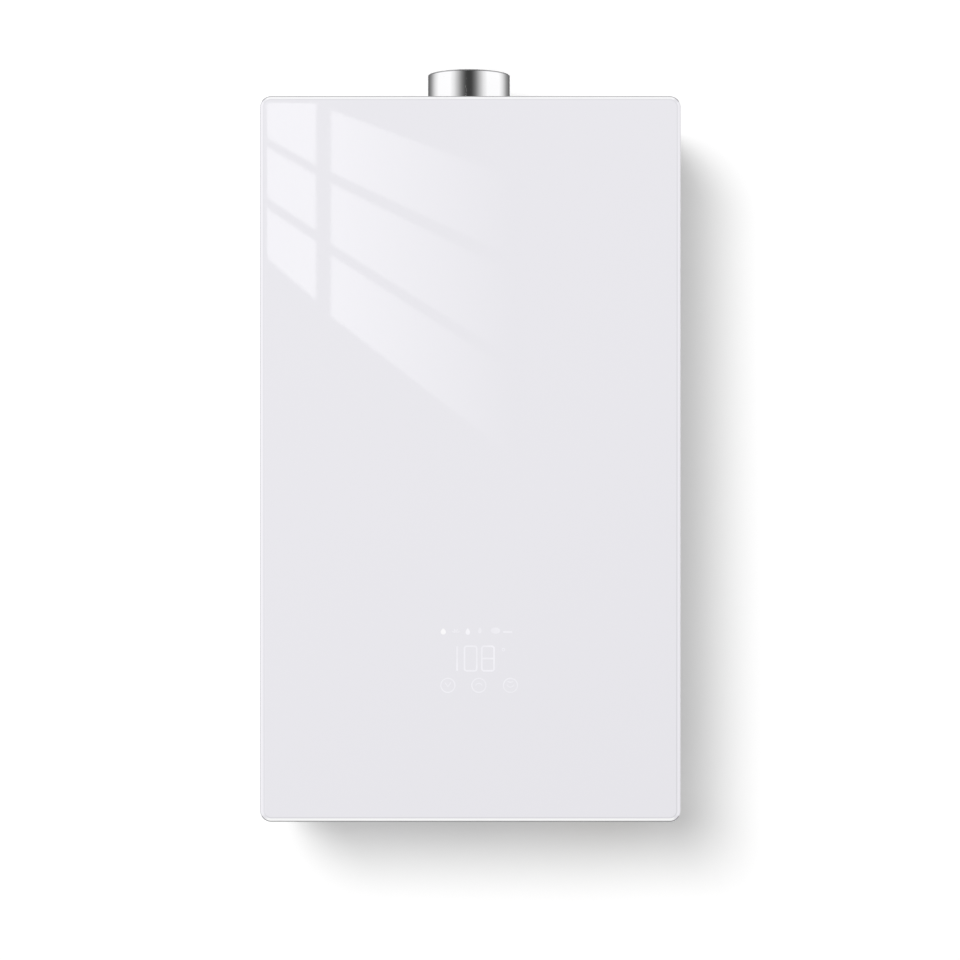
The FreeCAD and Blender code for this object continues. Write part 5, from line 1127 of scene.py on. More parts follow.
class HEATER_OT_fittings(bpy.types.Operator):
    """Makes the pipe connections, the drain plug with its strainer, the flow sensor and the cord gland"""

    bl_idname = "heater.fittings"
    bl_label = "Connections"

    def execute(self, context):
        metal = context.scene.heater_metal
        hot_low, hot_high = span("hot_outlet")
        drain = middle("drain_plug")
        cold = np.array([*middle("flow_sensor")[:2], PLATE_TOP])
        hot = middle("hot_outlet")
        column = [(7.5, 4), (13, 4), (13, 9), (14, 10), (14, 22), (13, 23), (13, 29.5), (7.5, 29.5)]
        branch = [(8.3, 35), (8.3, 0), (12, 0), (12, 35.5), (9.5, 38)]
        bridge = [(8, 0), (8, drain[0] - cold[0])]
        body = connection(cold[0], cold[1], span("cold_inlet")[0][2], PLATE_TOP + 29, metal)
        body += [turned(column, cold, UP, loop=True, soft=0.6),
                 turned(branch, (drain[0], cold[1], PLATE_TOP), UP, soft=0.6),
                 turned(bridge, cold + UP * 16, RIGHT, 40),
                 nut((drain[0], cold[1], PLATE_TOP + 0.05), UP, 27.0, 5.0, 8.3)]
        piece("cold_connection", "heater", {"brass": body}, ["cold_inlet"])
        outlet = connection(hot[0], hot[1], hot_low[2], hot_high[2] - 0.5, metal)
        ring = [(7.5, 20), (11, 20), (12, 21), (12, 29), (11, 30), (7.5, 30)]
        outlet.append(turned(ring, (hot[0], hot[1], PLATE_TOP), UP, loop=True))
        piece("hot_connection", "heater", {"brass": outlet}, ["hot_outlet"])
        self.drain(metal)
        self.flow(cold)
        self.gland()
        return {"FINISHED"}

    def drain(self, metal):
        """Grip knob and stem with two seal rings, and the strainer that comes out with it."""
        low, high = span("drain_plug")
        x, y, _ = middle("drain_plug")
        seat = 19
        rise = high[2] - low[2] - seat
        knob = ribbed((x, y, low[2]), UP, 10.0, 20.0, metal.grips, 0.9, 1.6)
        grooves = [(8.2, 7), (7.2, 7), (7.2, 9), (8.2, 9), (8.2, 11), (7.2, 11), (7.2, 13), (8.2, 13)]
        profile = [(7.4, 0), (7.4, 5), (8.2, 5.6), *grooves, (8.2, rise - 0.5), (7.4, rise)]
        stem = turned(profile, (x, y, low[2] + seat), UP)
        ring = [7.4, 0] + circle(0.85, 12)
        seals = [turned(ring, (x, y, low[2] + seat + groove), UP, 40, loop=True) for groove in (8, 12)]
        bar = soft_box((x - 7.5, y - 1.6, low[2] - 0.02), (x + 7.5, y + 1.6, low[2] + 1.0), 0.3, facing=DOWN)
        piece("drain_knob", "drain", {"dark plastic": [knob, stem, bar], "rubber": seals},
              ["drain_plug"])
        base, top = span("inlet_filter")
        size = top[2] - base[2]
        foot = nut((x, y, base[2]), UP, 12.6, 2.5)
        rows, columns = np.ogrid[:34, :64]
        dent = 0.22 * ((rows + columns) % 2)
        sieve = barrel((x, y, base[2]), UP, 5.9 - dent, np.linspace(2.5, size - 2.5, 34))
        cap = turned([(6.2, 0), (6.2, 1.6), (4.6, 2.5)], (x, y, base[2] + size - 2.5), UP, 32)
        piece("inlet_strainer", "drain", {"turned steel": [foot, sieve, cap]},
              ["inlet_filter"])

    def flow(self, cold):
        """Flow sensor body with its nuts, and the reader clipped on its face."""
        low, high = span("flow_sensor")
        x, y = cold[:2]
        ends = [nut((x, y, level), UP, 24.6, 10.0) for level in (low[2], high[2] - 10)]
        drum = soft_box((x - 15, y - 15, low[2] + 10), (x + 15, y + 15, high[2] - 10), 1.6, 4.0, UP, steps=4)
        bands = [turned([(15.6, 0), (15.6, 2)], (x, y, low[2] + rise), UP, 48)
                 for rise in (12, 36)]
        arrow = [slab(3.0, 14.0, 0.6, eased(0.8, 0.3), (x + side * 10.5, y - 15, low[2] + 25),
                      FRONT) for side in BOTH]
        piece("flow_body", "heater", {"pale plastic": ends + [drum] + bands + arrow},
              ["flow_sensor"])
        low, high = span("flow_pickup")
        pad = soft_box((x - 7, low[1], low[2]), (x + 7, high[1], high[2]), 1.2, 1.6)
        wires = [tube([(x + step, low[1] + 3, high[2] - 1), (x + step, low[1] + 3, high[2] + 5),
                       (x + step, low[1] + 8, high[2] + 8), (x + step, low[1] + 8, high[2] + 14)], 0.7, 3, 8)
                 for step in (-2, 0, 2)]
        piece("flow_reader", "heater",
              {"dark plastic": [pad], "bright screw": [screw((x, low[1], low[2] + 4), FRONT, 2.0)],
               "red plastic": wires[:1], "white plastic": wires[1:2], "rubber": wires[2:]}, ["flow_pickup"])

    def gland(self):
        """Cord gland: lock nut, body nut and grooved dome nut round its seal."""
        low, high = span("cord_gland")
        x, y, _ = middle("cord_gland")
        base = np.array([x, y, low[2]])
        dome = ribbed(base, UP, 9.3, 9.5, 16, 0.7, 1.6, 4.5)
        rise = high[2] - low[2]
        sleeve = turned([(4.5, 9), (8, 9), (8, rise), (4.5, rise)], base, UP, loop=True)
        nuts = [nut(base + UP * 9.4, UP, 20.0, PLATE_LOW - low[2] - 9.4, 4.5),
                nut((x, y, PLATE_TOP), UP, 20.0, 5.0, 4.5)]
        seal = turned([(4.5, -0.05), (5.6, -0.05), (6.2, 0.6), (4.5, 0.6)], base, UP, loop=True)
        piece("cord_entry", "heater",
              {"dark plastic": [dome, sleeve] + nuts, "rubber": [seal]}, ["cord_gland"])


class HEATER_OT_water(bpy.types.Operator):
    """Makes the copper coil, water pipes, union and the ends of the heat exchanger"""

    bl_idname = "heater.water"
    bl_label = "Water pipes"

    def execute(self, context):
        metal = context.scene.heater_metal
        radius, bend = metal.pipe * 1000, metal.bend * 1000
        low = span("chamber_coil")[0]
        union, hot = middle("union_nut"), middle("hot_outlet")
        side, rear, _ = middle("cold_pipe")
        front, left = low[1] + radius, low[0] + radius
        edge = CHAMBER_HIGH[0] + 6
        wrap, climb = -36, 26
        route = [(side, rear, union[2]), (side, rear, wrap), (side, front, wrap), (-side, front, wrap),
                 (-side, rear, wrap + climb), (left, rear, WATER_Z), (-edge, rear, WATER_Z)]
        piece("coil_pipe", "heater", {"heated copper": [tube(route, radius, bend, 24, 10)]},
              ["chamber_coil"])
        lower = span("flow_sensor")[1][2]
        straight = tube([(side, rear, lower), (side, rear, union[2])], radius, 0, 24)
        collar = turned([(9.5, 0), (9.5, 3), (8, 4)], (side, rear, lower), UP)
        piece("cold_water_pipe", "heater", {"copper": [straight], "brass": [collar]}, ["cold_pipe"])
        end = span("hot_outlet")[1][2]
        path = [(edge, hot[1], WATER_Z), (hot[0], hot[1], WATER_Z), (hot[0], hot[1], end)]
        drop = tube(path, radius, bend, 24, 10)
        solder = turned([(radius - 0.2, 0), (8.6, 0), (8.0, 1.4), (radius, 2.6), (radius - 0.2, 2.6)],
                        (hot[0], hot[1], end), UP, loop=True)
        piece("hot_water_pipe", "heater", {"copper": [drop], "brass": [solder]}, ["hot_pipe"])
        height = 14.0
        base = union - UP * height / 2
        cone = turned([(radius, 0), (8.2, 0), (7.6, 2.4), (radius, 2.4)], base + UP * height, UP, loop=True)
        piece("pipe_union", "heater", {"brass": [nut(base, UP, 20.0, height, radius + 0.05), cone]},
              ["union_nut"])
        self.exchanger(hot[1], rear)
        self.walls()
        return {"FINISHED"}

    def exchanger(self, front, rear):
        """Three passes, their end plates with pressed rims, and a domed return cap at each end."""
        half = CHAMBER_HIGH[0]
        rows = [front, (front + rear) / 2, rear]
        parts = [turned([(9.5, 0), (9.5, 2 * half)], (-half, y, WATER_Z), RIGHT, 32) for y in rows]
        for side in BOTH:
            facing = RIGHT * side
            plate = (side * half, rows[1], WATER_Z)
            parts.append(slab(rear - front + 27, 27, 6, eased(2.0, 0.8), plate, facing, UP))
            shape = [(0, 1), (0, 8), (0.4, 10), (1.4, 11.8), (3, 12.7), (5, 13), (6, 13)]
            spot = (side * half, rows[1] + side * (rear - front) / 4, WATER_Z)
            parts.append(slab((rear - front) / 2 + 19, 19, 9.3, shape, spot, facing, UP, 8))
            stub = front if side > 0 else rear
            parts.append(turned([(8.35, 0), (8.35, 5), (7.2, 6)], (side * half, stub, WATER_Z), facing, 32))
        piece("exchanger_passes", "heater", {"copper": parts}, ["exchanger_tube"])

    def walls(self):
        """Copper casings of the exchanger and the chamber: folded lips at both ends and pressed beads."""
        wide, deep = CHAMBER_HIGH[0] - CHAMBER_LOW[0], CHAMBER_HIGH[1] - CHAMBER_LOW[1]
        centre = (0, (CHAMBER_HIGH[1] + CHAMBER_LOW[1]) / 2, 0)
        for name, node, beads, finish in (("exchanger_casing", "exchanger_shell", (14, 46), "copper"),
                                          ("chamber_casing", "chamber_shell", (12, 58, 88), "heated copper")):
            low, high = span(node)[0][2], span(node)[1][2]
            outer = [(-1.8, low), (-1.8, low + 1.2), (0, low + 1.3)]
            for rise in beads:
                outer += [(0, low + rise - 3), (-0.9, low + rise - 1), (-0.9, low + rise + 1),
                          (0, low + rise + 3)]
            outer += [(0, high - 1.3), (-1.8, high - 1.2), (-1.8, high)]
            inner = [(0.8, high), (0.8, low)]
            casing = shell(wide, deep, 8.0, softened(outer + inner, 0.5, 2), centre)
            piece(name, "heater", {finish: [casing]}, [node])


class HEATER_OT_gas(bpy.types.Operator):
    """Makes the gas valve, its coils, the rail with its jets, the igniter and the sight window"""

    bl_idname = "heater.gas"
    bl_label = "Gas train"

    def execute(self, context):
        metal = context.scene.heater_metal
        self.valve(metal)
        self.coils()
        self.rail()
        self.front_fittings()
        return {"FINISHED"}

    def valve(self, metal):
        """Die-cast valve: rounded body, outlet arm, cover with screws, ribs, test nipple and connection."""
        inlet_low = span("gas_valve_body")[0][2]
        inlet_y = middle("cold_pipe")[1]
        front, back = -101.0, -23.0
        middle_y = (front + back) / 2
        base, top = PLATE_TOP + 14, VALVE_TOP
        arm_y = middle("gas_riser")[1]
        cast = [soft_box((-30, front, base), (30, back, top), 2.4, 7, UP, steps=4),
                soft_box((-13, arm_y - 13, top - 18), (13, middle_y, top - 2), 2.0, 6, UP, steps=4),
                turned([(11.5, 0), (11.5, 2), (9, 3.2)], (0, arm_y, top - 2), UP, 40),
                turned([(17, 0), (16, 3)], (0, front, TRIM_Z), FRONT, 48)]
        for side in BOTH:
            cast += [soft_box((side * 30, middle_y - 6, COIL_Z - 6), (side * 64, middle_y + 6, COIL_Z + 6),
                              0.8, 0.8, RIGHT),
                     slab(36, 36, 5, eased(1.6, 0.6), (side * 29.5, middle_y, COIL_Z), RIGHT * side, UP),
                     soft_box((side * 20 - 1, front - 1.4, base + 6), (side * 20 + 1, front + 1, top - 4),
                              0.5)]
        cast.append(turned([(4.2, 0), (4.2, 6), (2.6, 7), (2.6, 11)], (20, -84, top), UP, 24))
        brass = connection(0, inlet_y, inlet_low, base + 1, metal)
        heads = [screw((side * 24, front, z), FRONT, 2.8) for side in BOTH for z in (base + 6, top - 8)]
        heads += [screw((side * 10, arm_y - 9, top - 2), UP, 2.2) for side in BOTH]
        piece("gas_valve", "heater", {"cast alloy": cast + brass, "bright screw": heads},
              ["gas_valve_body"])

    def coils(self):
        """Two safety coils in steel yokes and the round trim coil, each with its spade terminals."""
        z, y, front = COIL_Z, -62.0, -104.0
        plastic, steel, tags = [], [], []
        for side in BOTH:
            plastic.append(soft_box((side * 32, y - 14, z - 14), (side * 59.6, y + 14, z + 14), 2.6, 2.6,
                                    RIGHT, steps=4))
            steel += [soft_box((side * reach, y - 15, z - 15), (side * (reach + 1.4), y + 15, z + 15), 0.4,
                               1.0, RIGHT) for reach in (30.2, 59.4)]
            steel.append(soft_box((side * 30.2, y - 15, z - 15.2), (side * 60.8, y + 15, z - 13.8),
                                  0.4, 0.6, DOWN))
            tags += [blade((side * 46, y - 13.5, z + step), FRONT, UP, 4.8, 7) for step in (-6, 6)]
        trim = [(13, 0), (13, 2.5), (12, 3), (12, 20), (13, 20.5), (13, 24), (11.5, 26)]
        plastic.append(turned(trim, (0, front, TRIM_Z), FRONT, 48, soft=0.5))
        steel.append(turned([(7, 0), (7, 1.2), (5, 1.4)], (0, front - 25, TRIM_Z), FRONT, 32))
        tags += [blade((12 * side, front - 12, TRIM_Z - 5), RIGHT * side, UP, 4.8, 7) for side in BOTH]
        piece("valve_coils", "heater",
              {"dark plastic": plastic, "satin steel": steel, "bright screw": tags}, ["gas_solenoids"])

    def rail(self):
        """Gas rail with end brackets and screws, its jets, and the pipe up from the valve."""
        low, high = span("gas_manifold")
        jets = span("gas_nozzles")
        z = (jets[0][2] + jets[1][2]) / 2
        face, length = jets[0][1], jets[1][1] - jets[0][1]
        rail = [soft_box((low[0], low[1], z - 8), (high[0], face, z + 8), 1.8, 2.6, steps=3)]
        for side in BOTH:
            x = side * high[0]
            rail.append(soft_box((x, face - 2, z - 8), (x - side * 3, high[1], high[2]), 0.5, 0.8, UP))
            rail.append(soft_box((x, high[1] - 0.1, z + 9),
                                 (x - side * 14, high[1] - 1.7, high[2]), 0.4, 1.5))
        heads = [screw((side * (high[0] - 9), high[1] - 1.7, high[2] - 4.5), FRONT, 2.4) for side in BOTH]
        plugs = [nut((side * high[0], (low[1] + face) / 2, z), RIGHT * side, 9.0, 3.0) for side in BOTH]
        piece("gas_rail", "heater", {"cast alloy": rail, "bright screw": heads, "brass": plugs},
              ["gas_manifold"])
        cone = [(0.8, 2.9), (3.0, 2.9), (1.5, length), (0.8, length)]
        nozzles = []
        for x in np.linspace(jets[0][0] + 4.5, jets[1][0] - 4.5, 6):
            nozzles += [nut((x, face, z), BACK, 9.0, 3.0, 0.8),
                        turned(cone, (x, face, z), BACK, 24, loop=True)]
        piece("gas_jets", "heater", {"brass": nozzles}, ["gas_nozzles"])
        low, high = span("gas_riser")
        x, y, _ = middle("gas_riser")
        pipe = [turned([(7, 0), (7, high[2] - low[2])], (x, y, low[2]), UP, 40)]
        nuts = [nut((x, y, level), UP, 17.0, 7.0) for level in (low[2] + 3.2, high[2] - 7.5)]
        piece("gas_pipe", "heater", {"satin steel": pipe, "brass": nuts}, ["gas_riser"])

    def front_fittings(self):
        """Igniter and flame sensor on their bracket, the mica window and the two overheat switches."""
        low, high = span("electrodes")
        wall = CHAMBER_LOW[1]
        z = (low[2] + high[2]) / 2
        xs = (low[0] + 8.5, high[0] - 8.5)
        bracket = slab(high[0] - low[0], high[2] - low[2], 3, eased(1.5, 0.4),
                       ((low[0] + high[0]) / 2, wall, z))
        profile = [(2.6, 0), (3.4, 0.8), (3.4, 5), (5.2, 5.6), (5.2, 9), (3.4, 10), (3.4, 25), (2.6, 26)]
        porcelain, pins = [], []
        for x in xs:
            porcelain.append(turned(profile, (x, low[1], z), BACK, 32, soft=0.3))
            pins += [tube([(x, low[1] + 25, z), (x, high[1] - 4, z), (x, high[1] - 2, z - 3)], 0.9, 2, 12),
                     turned([(1.4, 0), (1.4, 4)], (x, low[1] - 3.0, z), BACK, 16)]
        heads = [screw(((xs[0] + xs[1]) / 2, wall - 1.5, z), FRONT, 2.8)]
        piece("igniter_and_sensor", "heater",
              {"ceramic": porcelain, "satin steel": [bracket] + pins, "bright screw": heads}, ["electrodes"])
        low, high = span("sight_window")
        centre = ((low[0] + high[0]) / 2, wall, (low[2] + high[2]) / 2)
        wide, tall = high[0] - low[0], high[2] - low[2]
        frame_rows = [(0, 0), (0, 2.2), (0.3, 2.8), (1, 3), (3.2, 3), (3.8, 2.6), (4, 1.4), (4, 0)]
        rim = slab(wide, tall, 3.0, frame_rows, centre, steps=4, loop=True)
        pane = slab(wide - 7.6, tall - 7.6, 1.0, eased(1.0, 0.2), centre)
        heads = corner_screws(centre, wide / 2 - 2, 3, tall / 2 - 2, 1.3)
        piece("peep_window", "heater",
              {"satin steel": [rim], "mica": [pane], "bright screw": heads}, ["sight_window"])
        low, high = span("temperature_sensors")
        cups, tags, rings = [], [], []
        for x in (low[0] + 9, high[0] - 9):
            base = (x, high[1], WATER_Z)
            rings.append(turned([(9, 0), (9, 1.2), (8.4, 1.6)], base, FRONT, 40))
            cups.append(turned([(7.6, 1.5), (7.6, 6.2), (7, 7)], base, FRONT, 40, soft=0.4))
            tags += [blade((x + step, high[1] - 6.9, WATER_Z), FRONT, UP, 4.8, 6.5) for step in (-4, 4)]
        piece("overheat_switches", "heater",
              {"dark plastic": cups, "satin steel": rings, "bright screw": tags}, ["temperature_sensors"])


class HEATER_OT_fan(bpy.types.Operator):
    """Makes the fan's scroll, wheel, shaft, motor and plate, and the duct up to the collar"""

    bl_idname = "heater.fan"
    bl_label = "Fan"

    def execute(self, context):
        metal = context.scene.heater_metal
        low, high = span("fan_housing")
        axis = np.array([FAN[0], 0.0, middle("fan_impeller")[2]])
        self.scroll(low, high, axis)
        self.wheel(axis, metal.vanes)
        self.motor(axis)
        self.duct()
        return {"FINISHED"}

    def scroll(self, low, high, axis):
        """Spiral casing: a radius that grows by an even step each quarter turn, up to a straight outlet.

        One closed sheet section runs from the front opening round the wall to the eye. The openings' points
        follow the wall's angle, held at one angle along the outlet.
        """
        first, last, step, start, room, outlet = 118, -180, 9.0, 52.0, 1.8, 51.0
        centre = axis[[0, 2]]
        turn = np.radians(np.linspace(first, last, 100))
        grow = start + (np.radians(first) - turn) / (np.pi / 2) * step + room
        spiral = np.clip(centre + grow[:, None] * spokes(turn), low[[0, 2]], [high[0], np.inf])
        edge = low[0] + outlet
        left = np.stack([np.full(11, low[0]), np.linspace(spiral[-1, 1], high[2], 12)[1:]], -1)
        top = np.stack([np.linspace(low[0], edge, 14)[1:], np.full(13, high[2])], -1)
        right = np.stack([np.full(8, edge), np.linspace(high[2], spiral[0, 1], 9)[1:]], -1)
        outline = np.concatenate([spiral, left, top, right[:-1], [right[-1] + [0.8, -0.2]]])[::-1]
        outward = unit(np.roll(outline, -1, 0) - np.roll(outline, 1, 0)) @ np.array([[0.0, -1.0], [1.0, 0.0]])
        angle = np.unwrap(np.arctan2(outline[:, 1] - axis[2], outline[:, 0] - axis[0]))
        held = math.radians(133)
        angle = np.maximum.accumulate(np.maximum(angle, held)) + np.linspace(0, 0.03, len(angle))
        hole = spokes(angle)
        throat = np.array([edge, spiral[0, 1]])
        lip = np.clip(np.linalg.norm(outline - throat, axis=1) / 14 - 0.35, 0, 1)[:, None] * outward
        mouth, eye = 48, 29
        front, back = low[1], high[1]
        rows = [(centre + mouth * hole, front)]
        rows += [(outline + out * lip, level) for out, level in (
            (-1, front), (1.6, front), (1.6, front + 1.2), (0.1, front + 1.3), (0, back - 1.3),
            (1.4, back - 1.2), (1.4, back))]
        rows += [(centre + radius * hole, level) for radius, level in (
            (mouth, back), (eye + 0.6, back), (eye, back + 0.5), (eye, back - 1), (mouth, back - 1))]
        rows += [(outline - 0.8 * lip, back - 1), (outline - 0.8 * lip, front + 1),
                 (centre + mouth * hole, front + 1)]
        casing = skin(layered(rows, 1), loop=True)
        piece("fan_scroll", "heater", {"zinc sheet": [casing]}, ["fan_housing"])

    def wheel(self, axis, count):
        """Wheel with curved vanes: each vane's angle leans back by a square of its share of the radius."""
        low, high = span("fan_impeller")
        front, rear = low[1], high[1]
        disc = turned([(45, 0), (46, 0.5), (46, 1)], axis + BACK * front, BACK, 72)
        hub = turned([(9, 1), (8, 12), (6, 17), (4.5, 18)], axis + BACK * front, BACK, 36, soft=0.6)
        ring = turned([(33, 0), (33.6, -0.8), (45, 0), (46, 0), (46, 1), (33.6, 1)], axis + BACK * (rear - 1),
                      BACK, 72, loop=True)
        share = np.linspace(0, 1, 7)
        radius = 34 + 11.6 * share
        lean = -0.20 * share ** 2 + 0.06 * share
        half = 0.011 * np.sin(np.pi * np.clip(share, 0.12, 0.88))
        reach = np.concatenate([radius, radius[::-1]])[:, None]
        lean = np.concatenate([lean - half, (lean + half)[::-1]])
        vanes = []
        for start in np.linspace(0, 2 * np.pi, count, endpoint=False):
            vane = axis[[0, 2]] + reach * spokes(lean + start)
            vanes.append(skin(layered([(vane, front + 0.8), (vane, rear - 0.8)], 1)))
        piece("fan_wheel", "fan_rotor", {"satin steel": [disc, hub, ring] + vanes},
              ["fan_impeller"])
        low, high = span("fan_shaft")
        length = high[1] - low[1]
        rod = turned([(2.6, 0), (3, 0.5), (3, length - 0.5), (2.6, length)],
                     axis + BACK * low[1], BACK, 28)
        piece("motor_shaft", "fan_rotor", {"turned steel": [rod]}, ["fan_shaft"])

    def motor(self, axis):
        """Round plate with pressed rings and screws, and the motor can with its bolts and terminal block."""
        low, high = span("fan_motor_plate")
        rim = (high[0] - low[0]) / 2
        sheet = high[1] - low[1]
        rings = [(5, 0), (rim - 0.4, 0), (rim, 0.4), (rim, sheet - 0.4), (rim - 0.4, sheet), (43, sheet),
                 (41, sheet + 1.4), (38, sheet + 1.4), (36, sheet), (5, sheet)]
        plate = turned(rings, axis + BACK * high[1], FRONT, 72, loop=True, soft=0.4)
        heads = [screw(spot, FRONT, 2.3) for spot in places_round(axis, 48.2, low[1], range(30, 390, 60))]
        piece("motor_plate", "heater", {"zinc sheet": [plate], "bright screw": heads},
              ["fan_motor_plate"])
        low, high = span("fan_motor")
        base = axis + BACK * high[1]
        can = [(29, 0), (30, 0.6), (31, 1), (31, 3), (30, 3.4), (30, 26), (31, 26.4), (31, 28.4), (30, 29),
               (28, 31), (26, 32), (14, 32), (13, 32.8), (11, 33), (11, 35.4), (10.4, 36)]
        steel = [turned(can, base, FRONT, 72, soft=0.35)]
        # Dark plastic slabs over the can's vent slots: painted shade for the openings
        vent_slot_shade = [slab(2.6, 7.0, 1.25, eased(0.5, 0.2), base + way * 20 + FRONT * 31.75, FRONT, way, 3)
                 for way in places_round(0, 1, 0, np.arange(22.5, 360, 45))]
        bolts = [nut(spot, FRONT, 5.0, 2.2) for spot in places_round(base, 25, -31.6, (0, 90, 180, 270))]
        block = soft_box(axis + [-9, -118, 29], axis + [9, -104, 36], 0.8, 1.0, UP)
        tip = turned([(3.0, 0), (3.0, 0.6)], base + FRONT * 35.9, FRONT, 24)
        piece("fan_motor_can", "heater",
              {"satin steel": steel, "dark plastic": vent_slot_shade + [tip], "bright screw": bolts,
               "white plastic": [block]}, ["fan_motor"])

    def duct(self):
        """Sheet duct that changes from the fan's oblong outlet to the round collar, with a flange below."""
        floor, top = span("flue_adapter")
        half_width, half_depth = 25.5, 21.0
        spoke = circle(1.0, 96)
        oblong = spoke / np.maximum(np.abs(spoke[:, :1]) / half_width, np.abs(spoke[:, 1:]) / half_depth)
        share = np.array([0, 0, 0.06, 0.06, 0.2, 0.4, 0.6, 0.8, 0.96, 1.0])
        outset = [2.5, 2.5, 2.4] + [0.8] * 7
        height = floor[2] + np.array([0, 1.2, 1.3, 1.4, 5, 10, 15, 20, 25, top[2] - floor[2]])
        ease = share * share * (3 - 2 * share)
        inner = [(1 - part) * oblong + part * COLLAR_BORE * spoke for part in ease]
        outer = [ring + out * spoke for ring, out in zip(inner, outset)]
        grid = layered(zip(outer + inner[::-1], [*height, *height[::-1]]), 2) + [COLLAR_X, COLLAR_Y, 0]
        piece("flue_duct", "heater", {"zinc sheet": [skin(grid, loop=True)]}, ["flue_adapter"])


